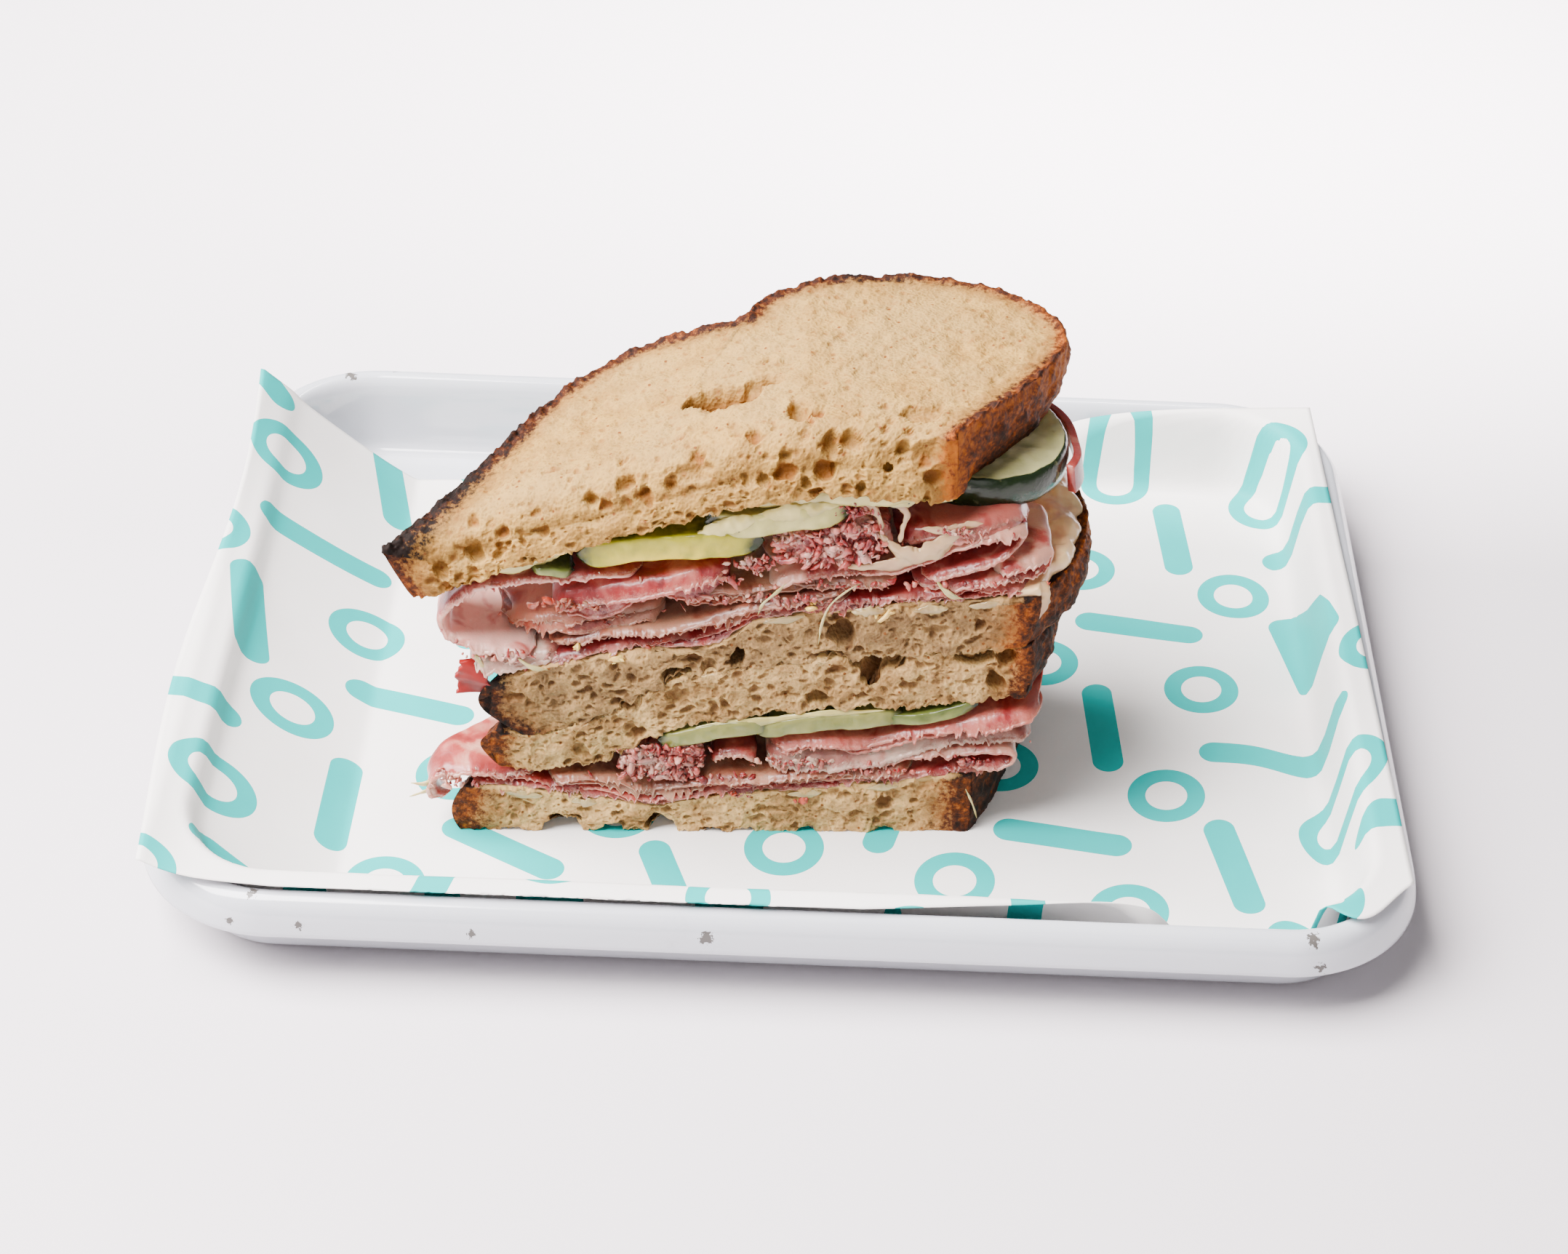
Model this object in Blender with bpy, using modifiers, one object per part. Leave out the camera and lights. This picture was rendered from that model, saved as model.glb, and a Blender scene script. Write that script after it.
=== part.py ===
"""A ham sandwich cut in two, its halves stacked cut face forward on a paper-lined enamel tray.

The tray stands on the XY plane with its centre at the origin. The food has a frame of its own:
x runs along the cut, y from the cut face into the food, z up from the tray's underside.
"""
import math

import bmesh
import bpy
import numpy as np
from mathutils import Vector, noise

# Driving dimensions of the tray and its paper, in metres
TRAY_LENGTH = 0.320
TRAY_WIDTH = 0.240
TRAY_HEIGHT = 0.025
TRAY_CORNER = 0.036
TRAY_STEEL = 0.0012
PAPER_THICKNESS = 0.0005

# Where the food stands on the tray, in metres and degrees
FOOD_PLACE = (-0.0187, -0.0604, 0.0)
FOOD_TURN = 2.84

# The food's own tables are in centimetres
CM = 0.01
LAYER_GAP = 0.04

# Heights of the bread's faces where the cut meets them, as (x, z), from the bottom slice up
LEVELS = {
    "crumb_base": [(-6.5, 0.25), (7.9, 0.25)],
    "lower_filling_floor": [(-6.6, 1.75), (-5.4, 1.72), (-4.0, 1.52), (-2.0, 1.20), (-1.4, 1.07), (-0.7, 1.28),
                            (1.0, 1.55), (3.4, 1.79), (6.4, 2.20), (7.9, 2.25)],
    "lower_filling_roof": [(-6.0, 2.75), (-5.1, 2.35), (-3.8, 2.36), (-2.5, 2.70), (-1.5, 3.45), (0.4, 4.02),
                           (2.2, 4.28), (4.1, 4.50), (5.4, 4.45), (6.8, 4.75), (8.4, 4.80)],
    "seam": [(-5.6, 3.60), (-4.5, 3.46), (-3.3, 3.80), (-2.5, 4.22), (-1.1, 5.16), (0.4, 5.60),
             (1.6, 5.75), (3.6, 6.03), (5.5, 6.20), (8.4, 6.55)],
    "upper_filling_floor": [(-5.6, 5.15), (-4.0, 5.72), (-2.8, 6.00), (-1.8, 6.22), (-0.3, 6.30), (0.4, 6.62),
                            (1.0, 7.10), (1.8, 7.30), (4.0, 7.62), (5.4, 7.80), (7.0, 7.88), (9.5, 8.05)],
    "upper_filling_roof": [(-7.5, 7.75), (-6.8, 8.03), (-5.9, 8.42), (-4.7, 9.03), (-3.6, 9.36), (-2.5, 9.80),
                           (-1.3, 10.15), (0.4, 10.73), (1.9, 11.00), (3.0, 11.18), (4.7, 11.00), (5.8, 10.95),
                           (8.8, 11.05)],
    "crown": [(-8.2, 9.20), (-7.4, 9.45), (-6.0, 10.00), (-4.7, 10.60), (-2.6, 11.30), (0.4, 12.30),
              (1.9, 12.60), (3.0, 12.75), (8.8, 12.80)],
}
ROOF_TILT = -0.06

# Bread slices: floor and roof levels, ends of the cut at floor, middle and roof, crust outline, seed
BREAD = {
    "bread_lower_bottom": dict(
        floor="crumb_base", roof="lower_filling_floor", left=(-6.45, -6.65, -6.30), right=(6.60, 6.62, 6.55),
        crust=[(-4.9, 2.9), (-3.1, 4.8), (-1.0, 5.8), (2.0, 6.2), (4.3, 7.2), (6.3, 7.3), (8.3, 6.2), (8.8, 4.8),
               (7.9, 2.5)], seed=1),
    "bread_lower_top": dict(
        floor="lower_filling_roof", roof="seam", left=(-5.40, -5.85, -5.45), right=(7.90, 8.05, 7.95),
        crust=[(-3.9, 2.7), (-2.3, 4.6), (-0.4, 5.6), (2.4, 6.1), (4.9, 7.0), (6.9, 7.2), (8.7, 6.3), (9.1, 4.6),
               (8.8, 2.0)], seed=2),
    "bread_upper_bottom": dict(
        floor="seam", roof="upper_filling_floor", left=(-4.75, -5.80, -5.55), right=(7.80, 8.00, 7.90),
        crust=[(-3.6, 2.8), (-2.1, 4.6), (-0.2, 5.6), (2.6, 6.2), (5.0, 7.2), (6.9, 7.4), (8.4, 6.8), (9.3, 5.4),
               (9.6, 3.5), (9.2, 1.6)], seed=3),
    "bread_upper_top": dict(
        floor="upper_filling_roof", roof="crown", left=(-7.35, -7.75, -8.05), right=(5.80, 5.78, 5.70),
        crust=[(-6.45, 1.75), (-5.1, 3.4), (-3.8, 5.05), (-2.1, 6.1), (-0.4, 6.3), (0.85, 6.35), (1.0, 6.8), (1.4, 7.2),
               (2.5, 7.7), (3.8, 7.95), (5.5, 7.95), (7.1, 7.4), (8.45, 6.2), (8.85, 4.7), (8.0, 2.8)], seed=4),
}
# The crust bulges at mid height, is drawn in at both faces, and on the top slice leans in towards its underside
CRUST_BULGE = 0.16
CRUST_DRAW = 0.08
CRUST_LEAN = {"bread_upper_top": 0.26}
CRUST_RELIEF = 0.10
CRUMB_RELIEF = 0.07

# Hollows in the crumb: slice, face, (x, y), radius and depth
HOLLOWS = [
    ("bread_upper_top", "roof", (0.1, 2.6), 0.75, 0.50),
    ("bread_upper_top", "roof", (1.9, 0.9), 0.45, 0.25),
    ("bread_upper_top", "roof", (4.9, 1.1), 0.55, 0.25),
    ("bread_upper_top", "floor", (2.9, 0.0), 0.50, 0.35),
    ("bread_upper_bottom", "floor", (2.6, 0.0), 0.60, 0.45),
    ("bread_upper_bottom", "floor", (6.2, 0.0), 0.50, 0.30),
    ("bread_lower_top", "roof", (3.9, 0.0), 0.80, 0.75),
    ("bread_lower_top", "roof", (6.9, 0.0), 0.45, 0.45),
    ("bread_lower_top", "floor", (-3.2, 0.0), 0.50, 0.35),
    ("bread_lower_bottom", "floor", (-3.6, 0.0), 0.55, 0.30),
    ("bread_lower_bottom", "floor", (-1.3, 0.0), 0.50, 0.45),
    ("bread_lower_bottom", "floor", (-2.4, 0.0), 0.35, 0.22),
]

# How deep the filling reaches behind the cut, as (x, y)
LOWER_REACH = [(-7.6, 0.5), (-7.0, 1.0), (-6.3, 1.7), (-5.6, 2.4), (-5.0, 2.7), (-3.5, 3.9), (-2.0, 5.0), (0.0, 5.5),
               (3.0, 6.0), (5.0, 6.7), (7.0, 6.6), (8.1, 5.4), (8.6, 3.2)]
UPPER_REACH = [(-7.0, 1.6), (-6.2, 2.4), (-5.0, 3.0), (-3.5, 4.2), (-2.0, 5.1), (0.0, 5.5), (3.0, 6.3), (5.0, 6.9),
               (7.0, 6.7), (8.2, 5.7), (8.6, 4.0)]

# Folded ham at the cut: half, thickness, share of the reach, and the path as (x, z)
HAM = {
    "ham_lower_bottom": ("lower", 0.15, 0.97, [
        (-6.20, 1.93), (-5.0, 1.88), (-4.0, 1.74), (-2.9, 1.58), (-1.8, 1.36), (-1.1, 1.34), (0.0, 1.60), (1.0, 1.75),
        (2.2, 1.88), (4.4, 2.08), (6.6, 2.40), (7.3, 2.44)]),
    "ham_lower_left_fold": ("lower", 0.22, 0.92, [
        (-4.45, 2.12), (-5.20, 2.14), (-6.10, 2.26), (-6.85, 2.20), (-7.22, 1.80), (-7.20, 1.34), (-6.90, 1.08)]),
    "ham_lower_beige": ("lower", 0.16, 0.98, [
        (-4.15, 2.03), (-3.2, 1.96), (-2.4, 1.86), (-1.5, 1.72), (-0.6, 1.86), (0.3, 2.05), (1.5, 2.10), (2.7, 2.20),
        (3.8, 2.30), (5.2, 2.42)]),
    "ham_lower_loop": ("lower", 0.20, 0.80, [
        (0.05, 2.40), (0.22, 2.74), (0.62, 2.92), (1.00, 2.72), (1.12, 2.40)]),
    "ham_lower_right_fold": ("lower", 0.17, 0.95, [
        (1.45, 2.50), (2.3, 2.54), (3.3, 2.62), (4.4, 2.68), (5.4, 2.80), (6.4, 2.98), (7.3, 3.14), (7.75, 3.02),
        (7.70, 2.76), (7.2, 2.68), (6.5, 2.66)]),
    "ham_lower_middle": ("lower", 0.20, 0.90, [
        (1.45, 2.86), (2.1, 2.82), (2.9, 2.84), (3.7, 2.92), (4.6, 3.02), (5.5, 3.20), (6.3, 3.34), (7.2, 3.46),
        (8.2, 3.42)]),
    "ham_lower_top": ("lower", 0.22, 1.00, [
        (1.55, 3.10), (2.4, 3.24), (3.1, 3.30), (3.8, 3.24), (4.6, 3.38), (5.5, 3.64), (6.4, 3.92), (7.4, 4.14),
        (8.4, 4.24)]),
    "ham_upper_bottom": ("upper", 0.15, 0.98, [
        (-4.90, 5.52), (-4.4, 5.66), (-3.6, 5.98), (-2.4, 6.30), (-1.1, 6.48), (0.1, 6.74), (1.0, 7.30), (2.0, 7.54),
        (3.4, 7.74), (4.8, 7.94), (6.3, 8.08), (7.8, 8.22)]),
    "ham_upper_beige": ("upper", 0.18, 0.94, [
        (-4.05, 6.28), (-3.3, 6.50), (-2.3, 6.72), (-1.1, 6.90), (0.1, 7.24), (1.2, 7.60), (2.3, 7.84), (3.4, 8.02)]),
    "ham_upper_left_fold": ("upper", 0.20, 1.00, [
        (-1.75, 8.50), (-2.6, 8.48), (-3.8, 8.46), (-4.9, 8.34), (-5.9, 8.06), (-6.45, 7.66), (-6.74, 7.15),
        (-6.72, 6.70), (-6.40, 6.40), (-5.8, 6.24), (-5.0, 6.13), (-4.40, 6.14)]),
    "ham_upper_white": ("upper", 0.13, 0.90, [
        (-6.05, 6.04), (-5.6, 5.86), (-5.0, 5.81), (-4.4, 5.90), (-3.8, 6.08)]),
    "ham_upper_inner": ("upper", 0.20, 0.88, [
        (-5.30, 6.55), (-4.6, 6.78), (-3.9, 6.96), (-3.2, 7.08), (-2.2, 7.20), (-1.2, 7.36)]),
    "ham_upper_ragged": ("upper", 0.34, 0.93, [
        (-3.95, 7.50), (-3.2, 7.60), (-2.3, 7.82), (-1.4, 8.14), (-0.5, 8.52), (0.35, 8.70)]),
    "ham_upper_grey": ("upper", 0.18, 0.96, [
        (-0.80, 7.84), (0.1, 8.06), (1.0, 8.04), (1.9, 8.20), (2.7, 8.30), (3.7, 8.36), (4.5, 8.42)]),
    "ham_upper_thin": ("upper", 0.13, 0.92, [
        (-0.85, 7.50), (0.0, 7.66), (0.9, 7.84), (1.8, 7.97)]),
    "ham_upper_low_fold": ("upper", 0.15, 0.96, [
        (4.95, 8.34), (5.6, 8.36), (6.4, 8.44), (7.2, 8.54), (7.9, 8.62), (8.3, 8.82), (8.12, 8.99), (7.4, 8.90),
        (6.9, 8.80)]),
    "ham_upper_right_fold": ("upper", 0.22, 1.00, [
        (1.35, 8.46), (2.5, 8.60), (3.6, 8.68), (4.6, 8.84), (5.4, 9.18), (6.1, 9.50), (6.75, 9.74), (7.30, 9.80),
        (7.60, 9.62), (7.40, 9.32), (6.6, 9.06), (5.8, 8.82), (5.1, 8.60)]),
    "ham_upper_top": ("upper", 0.34, 0.92, [
        (4.60, 9.45), (5.2, 9.84), (5.9, 10.04), (6.8, 10.12), (7.7, 10.08)]),
}

# Heaps of shredded ham: half, and the closed outline of the cut as (x, z) from the left end round the top
CHUNKS = {
    "ham_lower_chunk": ("lower", 0.85, [(-2.35, 2.15), (-2.20, 2.75), (-1.45, 2.95), (-0.30, 3.02), (-0.18, 2.60),
                                        (-0.22, 2.32), (-1.20, 2.08)]),
    "ham_upper_chunk": ("upper", 0.80, [(1.45, 9.05), (1.62, 9.82), (2.60, 9.98), (3.70, 10.20), (4.25, 9.95),
                                        (4.10, 9.15), (2.80, 8.92)]),
}

# Gherkin slices cut through by the knife: half, thickness, radius into the food, and the cut's path as (x, z)
CUT_GHERKINS = {
    "gherkin_lower_1": ("lower", 0.46, 2.3, [(-1.25, 3.24), (-0.5, 3.46), (0.4, 3.68), (1.15, 3.66)]),
    "gherkin_lower_2": ("lower", 0.46, 2.4, [(1.30, 3.66), (2.2, 3.84), (3.3, 3.98), (4.55, 4.02)]),
    "gherkin_lower_3": ("lower", 0.34, 2.1, [(4.72, 4.02), (5.6, 4.16), (6.3, 4.38)]),
    "gherkin_upper_1": ("upper", 0.60, 2.4, [(-3.30, 9.02), (-2.1, 9.22), (-0.9, 9.34), (0.1, 9.40), (1.15, 9.42)]),
    "gherkin_upper_2": ("upper", 0.56, 2.3, [(-0.20, 10.08), (0.9, 10.18), (1.9, 10.36), (3.05, 10.52)]),
    "gherkin_upper_3": ("upper", 0.22, 1.6, [(-4.45, 8.72), (-4.0, 8.74), (-3.45, 8.66)]),
}
# The whole gherkin slice that leans out on the right: centre, radii, thickness
WHOLE_GHERKIN = dict(centre=(6.55, 3.25, 10.46), radii=(2.30, 2.45), thickness=0.44)
# A ham edge curls up round that slice's outer side: first and last angle in degrees, radius, heights
CURL = dict(angles=(-28, 42), radius=2.52, heights=(9.85, 10.42), thickness=0.10)
# A strip of roast pepper hangs in front of the upper half's left crust: corners as (x, z)
PEPPER = dict(left=(-6.36, -6.22), right=(-5.88, -5.94), heights=(4.75, 5.78), front=0.05, thickness=0.14)

# Spreads: half, share of the reach, first and last x, levels above a floor or below a roof
SPREADS = {
    "aioli_upper": dict(reach=UPPER_REACH, share=0.80, ends=(-5.6, -3.9), under="upper_filling_roof",
                        thickness=[(-5.6, 0.16), (-4.8, 0.34), (-3.9, 0.12)]),
    "aioli_upper_right": dict(reach=[(3.2, 2.2), (4.2, 0.9), (5.7, 0.6)], share=1.0, ends=(3.25, 5.7),
                              under="upper_filling_roof", thickness=[(3.2, 0.50), (4.3, 0.40), (5.6, 0.12)]),
}
# The spread that shows on the slice behind the ham's right end: its outer edge as (y, x), inner x, thickness
SHOWN_SPREAD = dict(outer=[(0.1, 8.0), (1.6, 9.0), (3.5, 9.42), (5.2, 9.15), (6.4, 8.5)], inner=7.95,
                    thickness=[(7.9, 0.16), (8.8, 0.28), (9.5, 0.10)])


def smooth_path(points, count):
    """Points at even steps of length along a Catmull-Rom curve through the given points."""
    p = np.array(points, float)
    p = np.vstack([2 * p[0] - p[1], p, 2 * p[-1] - p[-2]])
    t = np.linspace(0, 1, 12, endpoint=False)[:, None]
    runs = []
    for a, b, c, d in zip(p, p[1:], p[2:], p[3:]):
        runs.append(0.5 * (2 * b + (c - a) * t + (2 * a - 5 * b + 4 * c - d) * t ** 2
                           + (3 * b - a - 3 * c + d) * t ** 3))
    curve = np.vstack(runs + [p[-2:-1]])
    length = np.concatenate([[0], np.cumsum(np.linalg.norm(np.diff(curve, axis=0), axis=1))])
    stations = np.linspace(0, length[-1], count)
    return np.column_stack([np.interp(stations, length, curve[:, k]) for k in range(2)])


def level(name, x, y=0.0):
    """Height of one of the bread's faces at x, with the top slice tilted down towards the back."""
    curve = smooth_path(LEVELS[name], 60)
    z = np.interp(x, curve[:, 0], curve[:, 1])
    return z + (ROOF_TILT * y if name in ("upper_filling_roof", "crown") else 0.0)


def squeeze(half, x, y, z):
    """Height of a filling point at depth y, which follows the tilt of the slice above it."""
    floor = level(half + "_filling_floor", x)
    roof = level(half + "_filling_roof", x)
    share = (z - floor) / max(roof - floor, 0.5)
    return z + share * (level(half + "_filling_roof", x, y) - roof)


def material(name, colour, roughness, metallic=0.0):
    """A plain Principled material."""
    made = bpy.data.materials.new(name)
    made.use_nodes = True
    shader = made.node_tree.nodes["Principled BSDF"]
    shader.inputs["Base Color"].default_value = (*colour, 1.0)
    shader.inputs["Roughness"].default_value = roughness
    shader.inputs["Metallic"].default_value = metallic
    made.diffuse_color = (*colour, 1.0)
    return made


def add_object(name, bm, finish, parent=None, sharp=40):
    """Turn a bmesh into a smooth-shaded object of the sandwich's collection."""
    mesh = bpy.data.meshes.new(name)
    bm.to_mesh(mesh)
    bm.free()
    mesh.materials.append(finish)
    mesh.shade_smooth()
    mesh.set_sharp_from_angle(angle=math.radians(sharp))
    made = bpy.data.objects.new(name, mesh)
    made.parent = parent
    collection.objects.link(made)
    return made


def bent_block(name, cells, place, finish, parent=None):
    """A cube cut into cells on its faces, whose corners place(u, v, w) carries to their real spots."""
    bm = bmesh.new()
    bmesh.ops.create_cube(bm, size=1.0)
    for axis, count in enumerate(cells):
        if count > 1:
            runs = [e for e in bm.edges if abs((e.verts[0].co - e.verts[1].co)[axis]) > 0.5]
            bmesh.ops.subdivide_edges(bm, edges=runs, cuts=count - 1, use_grid_fill=True)
    for vert in bm.verts:
        u, v, w = (c + 0.5 for c in vert.co)
        vert.co = Vector(place(u, v, w)) * CM
    return add_object(name, bm, finish, parent)


def relief(point, seed, size, depth):
    """A seeded lump or dip of the given size at a point, in centimetres."""
    return depth * noise.noise(Vector(point) / size + Vector((seed * 7.3, seed * 3.1, 0.0)))


def bread(name, spec, finish, food):
    """A half slice: cut straight in front, rounded crust behind, open crumb on both faces."""
    crust = smooth_path([(spec["left"][1], 0.0)] + spec["crust"] + [(spec["right"][1], 0.0)], 80)
    steps = np.linspace(0, 1, len(crust))
    heights = (0.0, 0.5, 1.0)
    middle = Vector((1.0, 2.6))

    def place(u, v, w):
        left = np.interp(w, heights, spec["left"])
        right = np.interp(w, heights, spec["right"])
        front = Vector((left + (right - left) * u, 0.0))
        behind = Vector([np.interp(u, steps, crust[:, k]) for k in range(2)])
        swell = CRUST_BULGE * (1 - (2 * w - 1) ** 2) - CRUST_DRAW - CRUST_LEAN.get(name, 0.0) * (1 - w)
        behind += (behind - middle).normalized() * swell * min(1, behind.y)
        depth = v ** 0.8
        x, y = front.lerp(behind, depth)
        x += relief((x, y, w * 2), spec["seed"], 1.1, CRUST_RELIEF) * depth
        y += relief((x, w * 2, 5.0), spec["seed"], 0.8, CRUMB_RELIEF) * (1 - depth)
        low = level(spec["floor"], x, y)
        high = level(spec["roof"], x, y)
        dips = {"floor": 0.0, "roof": 0.0}
        for slice_name, face, (cx, cy), radius, deep in HOLLOWS:
            if slice_name == name:
                dips[face] += deep * math.exp(-((x - cx) ** 2 + (y - cy) ** 2) / radius ** 2)
        low += dips["floor"] + LAYER_GAP / 2 + abs(relief((x, y, 0.0), spec["seed"], 0.9, CRUMB_RELIEF))
        high -= dips["roof"] + LAYER_GAP / 2 + abs(relief((x, y, 9.0), spec["seed"], 0.9, CRUMB_RELIEF))
        return x, y, low + (high - low) * w

    return bent_block(name, (24, 5, 3), place, finish, food)


def ham_sheet(name, half, thickness, share, path, finish, food):
    """A slice of ham that follows its folded path at the cut and runs back through the food."""
    count = max(8, 2 * len(path))
    line = smooth_path(path, count + 1)
    heading = np.gradient(line, axis=0)
    heading /= np.linalg.norm(heading, axis=1)[:, None]
    steps = np.linspace(0, 1, count + 1)
    reach = LOWER_REACH if half == "lower" else UPPER_REACH
    seed = len(name)

    def place(u, v, w):
        x, z = (np.interp(u, steps, line[:, k]) for k in range(2))
        tx, tz = (np.interp(u, steps, heading[:, k]) for k in range(2))
        end = np.interp(x, *zip(*reach)) * share
        y = 0.05 * math.sin(17 * u + seed) + end * v + relief((x, z, v * 3), seed, 1.3, 0.35) * v
        x -= tz * (w - 0.5) * thickness
        z += tx * (w - 0.5) * thickness
        return x, y, squeeze(half, x, y, z)

    return bent_block(name, (count, 3, 1), place, finish, food)


def chunk(name, half, depth, outline, finish, food):
    """A heap of shreds: its outline at the cut shrinks and rounds towards the back."""
    reach = LOWER_REACH if half == "lower" else UPPER_REACH
    ring = smooth_path(outline + outline[:1], 25)[:-1]
    centre = ring.mean(axis=0)
    bm = bmesh.new()
    rings = []
    for step in range(6):
        v = step / 5
        size = 1 - 0.35 * v ** 2
        loop = []
        for x, z in ring:
            px, pz = centre + (np.array((x, z)) - centre) * size
            y = v * depth * np.interp(px, *zip(*reach)) * 0.8 + 0.04
            grow = 1 + relief((x * 2, y * 2, z * 2), 5, 0.6, 0.05)
            px, pz = centre + (np.array((px, pz)) - centre) * grow
            loop.append(bm.verts.new(Vector((px, y, squeeze(half, px, y, pz))) * CM))
        rings.append(loop)
    for near, far in zip(rings, rings[1:]):
        for k in range(len(near)):
            bm.faces.new((near[k], near[k - 1], far[k - 1], far[k]))
    bm.faces.new(rings[0])
    bm.faces.new(reversed(rings[-1]))
    bmesh.ops.recalc_face_normals(bm, faces=bm.faces)
    return add_object(name, bm, finish, food)


def cut_gherkin(name, half, thickness, radius, path, finish, food):
    """Half a round slice of gherkin: flat where the knife went through, round behind."""
    line = smooth_path(path, 15)

    def place(u, v, w):
        across = 2 * u - 1
        x = np.interp(u, np.linspace(0, 1, 15), line[:, 0])
        z = np.interp(u, np.linspace(0, 1, 15), line[:, 1])
        y = 0.03 + v * radius * math.sqrt(max(0.04, 1 - across ** 2))
        z += (w - 0.5) * thickness * (1 - 0.45 * across ** 8)
        return x, y, squeeze(half, x, y, z)

    return bent_block(name, (10, 3, 1), place, finish, food)


def whole_gherkin(name, finish, food):
    """A whole round slice with a rounded skin."""
    bm = bmesh.new()
    bmesh.ops.create_cone(bm, cap_ends=True, segments=32, radius1=1.0, radius2=1.0, depth=1.0)
    rims = [e for e in bm.edges if len(e.link_faces) == 2 and abs(e.verts[0].co.z - e.verts[1].co.z) < 0.1]
    bmesh.ops.bevel(bm, geom=rims, offset=0.07, segments=2, affect="EDGES")
    cx, cy, cz = WHOLE_GHERKIN["centre"]
    rx, ry = WHOLE_GHERKIN["radii"]
    for vert in bm.verts:
        x, y, z = vert.co
        tilt = ROOF_TILT * (cy + y * ry) - 0.05 * x
        vert.co = Vector((cx + x * rx, cy + y * ry, cz + z * WHOLE_GHERKIN["thickness"] + tilt - ROOF_TILT * cy)) * CM
    return add_object(name, bm, finish, food)


def curl(name, finish, food):
    """A ham edge standing up in an arc outside the whole gherkin slice."""
    cx, cy, _ = WHOLE_GHERKIN["centre"]
    first, last = (math.radians(a) for a in CURL["angles"])

    def place(u, v, w):
        angle = first + (last - first) * v
        radius = CURL["radius"] - 0.12 * w + u * CURL["thickness"]
        low, high = CURL["heights"]
        return cx + radius * math.cos(angle), cy + radius * math.sin(angle), low + (high - low) * w

    return bent_block(name, (1, 10, 2), place, finish, food)


def pepper(name, finish, food):
    """A thin strip that hangs down with its broad face to the front."""
    low, high = PEPPER["heights"]

    def place(u, v, w):
        left = PEPPER["left"][0] + (PEPPER["left"][1] - PEPPER["left"][0]) * w
        right = PEPPER["right"][0] + (PEPPER["right"][1] - PEPPER["right"][0]) * w
        x = left + (right - left) * u + 0.05 * math.sin(9 * w)
        y = PEPPER["front"] + v * PEPPER["thickness"] + 0.06 * math.sin(5 * w + 3 * u)
        return x, y, low + (high - low) * w

    return bent_block(name, (3, 1, 5), place, finish, food)


def spread(name, spec, finish, food):
    """A thick smear that clings to the bread above it and ends in thin edges."""
    first, last = spec["ends"]

    def place(u, v, w):
        x = first + (last - first) * u
        y = 0.02 + v * np.interp(x, *zip(*spec["reach"])) * spec["share"]
        y += 0.12 * math.sin(5 * x) * v
        thick = np.interp(x, *zip(*spec["thickness"])) * (1 - 0.6 * v ** 4)
        return x, y, level(spec["under"], x, y) - LAYER_GAP - thick * (1 - w)

    return bent_block(name, (8, 3, 1), place, finish, food)


def shown_spread(name, finish, food):
    """The smear behind the ham's right end, thick in the middle and thin at the crust."""
    edge = SHOWN_SPREAD["outer"]

    def place(u, v, w):
        y = edge[0][0] + (edge[-1][0] - edge[0][0]) * v
        outer = np.interp(y, *zip(*edge))
        x = SHOWN_SPREAD["inner"] + (outer - SHOWN_SPREAD["inner"]) * u
        thick = np.interp(x, *zip(*SHOWN_SPREAD["thickness"])) + relief((x, y, 0.0), 6, 0.9, 0.06)
        return x, y, level("upper_filling_floor", x, y) + LAYER_GAP + thick * w

    return bent_block(name, (5, 10, 1), place, finish, food)


def rounded_rectangle(length, width, radius, per_corner=6):
    """Points round a rectangle with round corners, anticlockwise."""
    points = []
    for corner, (sx, sy) in enumerate(((1, 1), (-1, 1), (-1, -1), (1, -1))):
        centre = Vector((sx * (length / 2 - radius), sy * (width / 2 - radius)))
        for k in range(per_corner + 1):
            angle = math.radians(90 * corner + 90 * k / per_corner)
            points.append(centre + Vector((math.cos(angle), math.sin(angle))) * radius)
    return points


# The tray's wall from its outer edge inwards, as inset in centimetres and share of the height
TRAY_WALL = [(0.0, 0.60), (0.03, 0.68), (0.12, 0.83), (0.28, 0.95), (0.50, 1.0), (0.72, 0.98), (0.88, 0.86),
             (0.96, 0.66), (1.03, 0.40), (1.12, 0.17), (1.27, 0.05), (1.55, 0.0)]


def tray(finish):
    """Pressed steel tray: an open surface of rounded rectangles, given its wall by Solidify."""
    bm = bmesh.new()
    rings = []
    for inset, share in TRAY_WALL:
        outline = rounded_rectangle(TRAY_LENGTH - 2 * inset * CM, TRAY_WIDTH - 2 * inset * CM,
                                    TRAY_CORNER - inset * CM)
        rings.append([bm.verts.new((*p, TRAY_STEEL + (TRAY_HEIGHT - TRAY_STEEL) * share)) for p in outline])
    for outer, inner in zip(rings, rings[1:]):
        for k in range(len(outer)):
            bm.faces.new((outer[k - 1], outer[k], inner[k], inner[k - 1]))
    bm.faces.new(rings[-1])
    made = add_object("tray", bm, finish)
    wall = made.modifiers.new("steel", "SOLIDIFY")
    wall.thickness = TRAY_STEEL
    wall.offset = -1
    wall.use_even_offset = True
    return made


def tray_height(x, y, early=0.0):
    """Height of the tray's upper face at a distance inside its rounded outline, less an early start."""
    qx = abs(x) - (TRAY_LENGTH / 2 - TRAY_CORNER)
    qy = abs(y) - (TRAY_WIDTH / 2 - TRAY_CORNER)
    inset = TRAY_CORNER - math.hypot(max(qx, 0.0), max(qy, 0.0)) - min(max(qx, qy), 0.0)
    share = np.interp(max((inset - early) / CM, 0.50), *zip(*TRAY_WALL))
    return TRAY_STEEL + (TRAY_HEIGHT - TRAY_STEEL) * share


# The paper's corners on plan in metres: near left, near right, far right, far left
PAPER_CORNERS = ((-0.1575, -0.1112), (0.1565, -0.0945), (0.1525, 0.1120), (-0.1570, 0.0875))
# Its front edge bows out to lie along the near rim
PAPER_BOW = 0.013
PAPER_FRONT = -0.1145
PAPER_GAP = 0.0006
# It stands this much further off the tray at the rim
PAPER_SPRING = 0.0010
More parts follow.
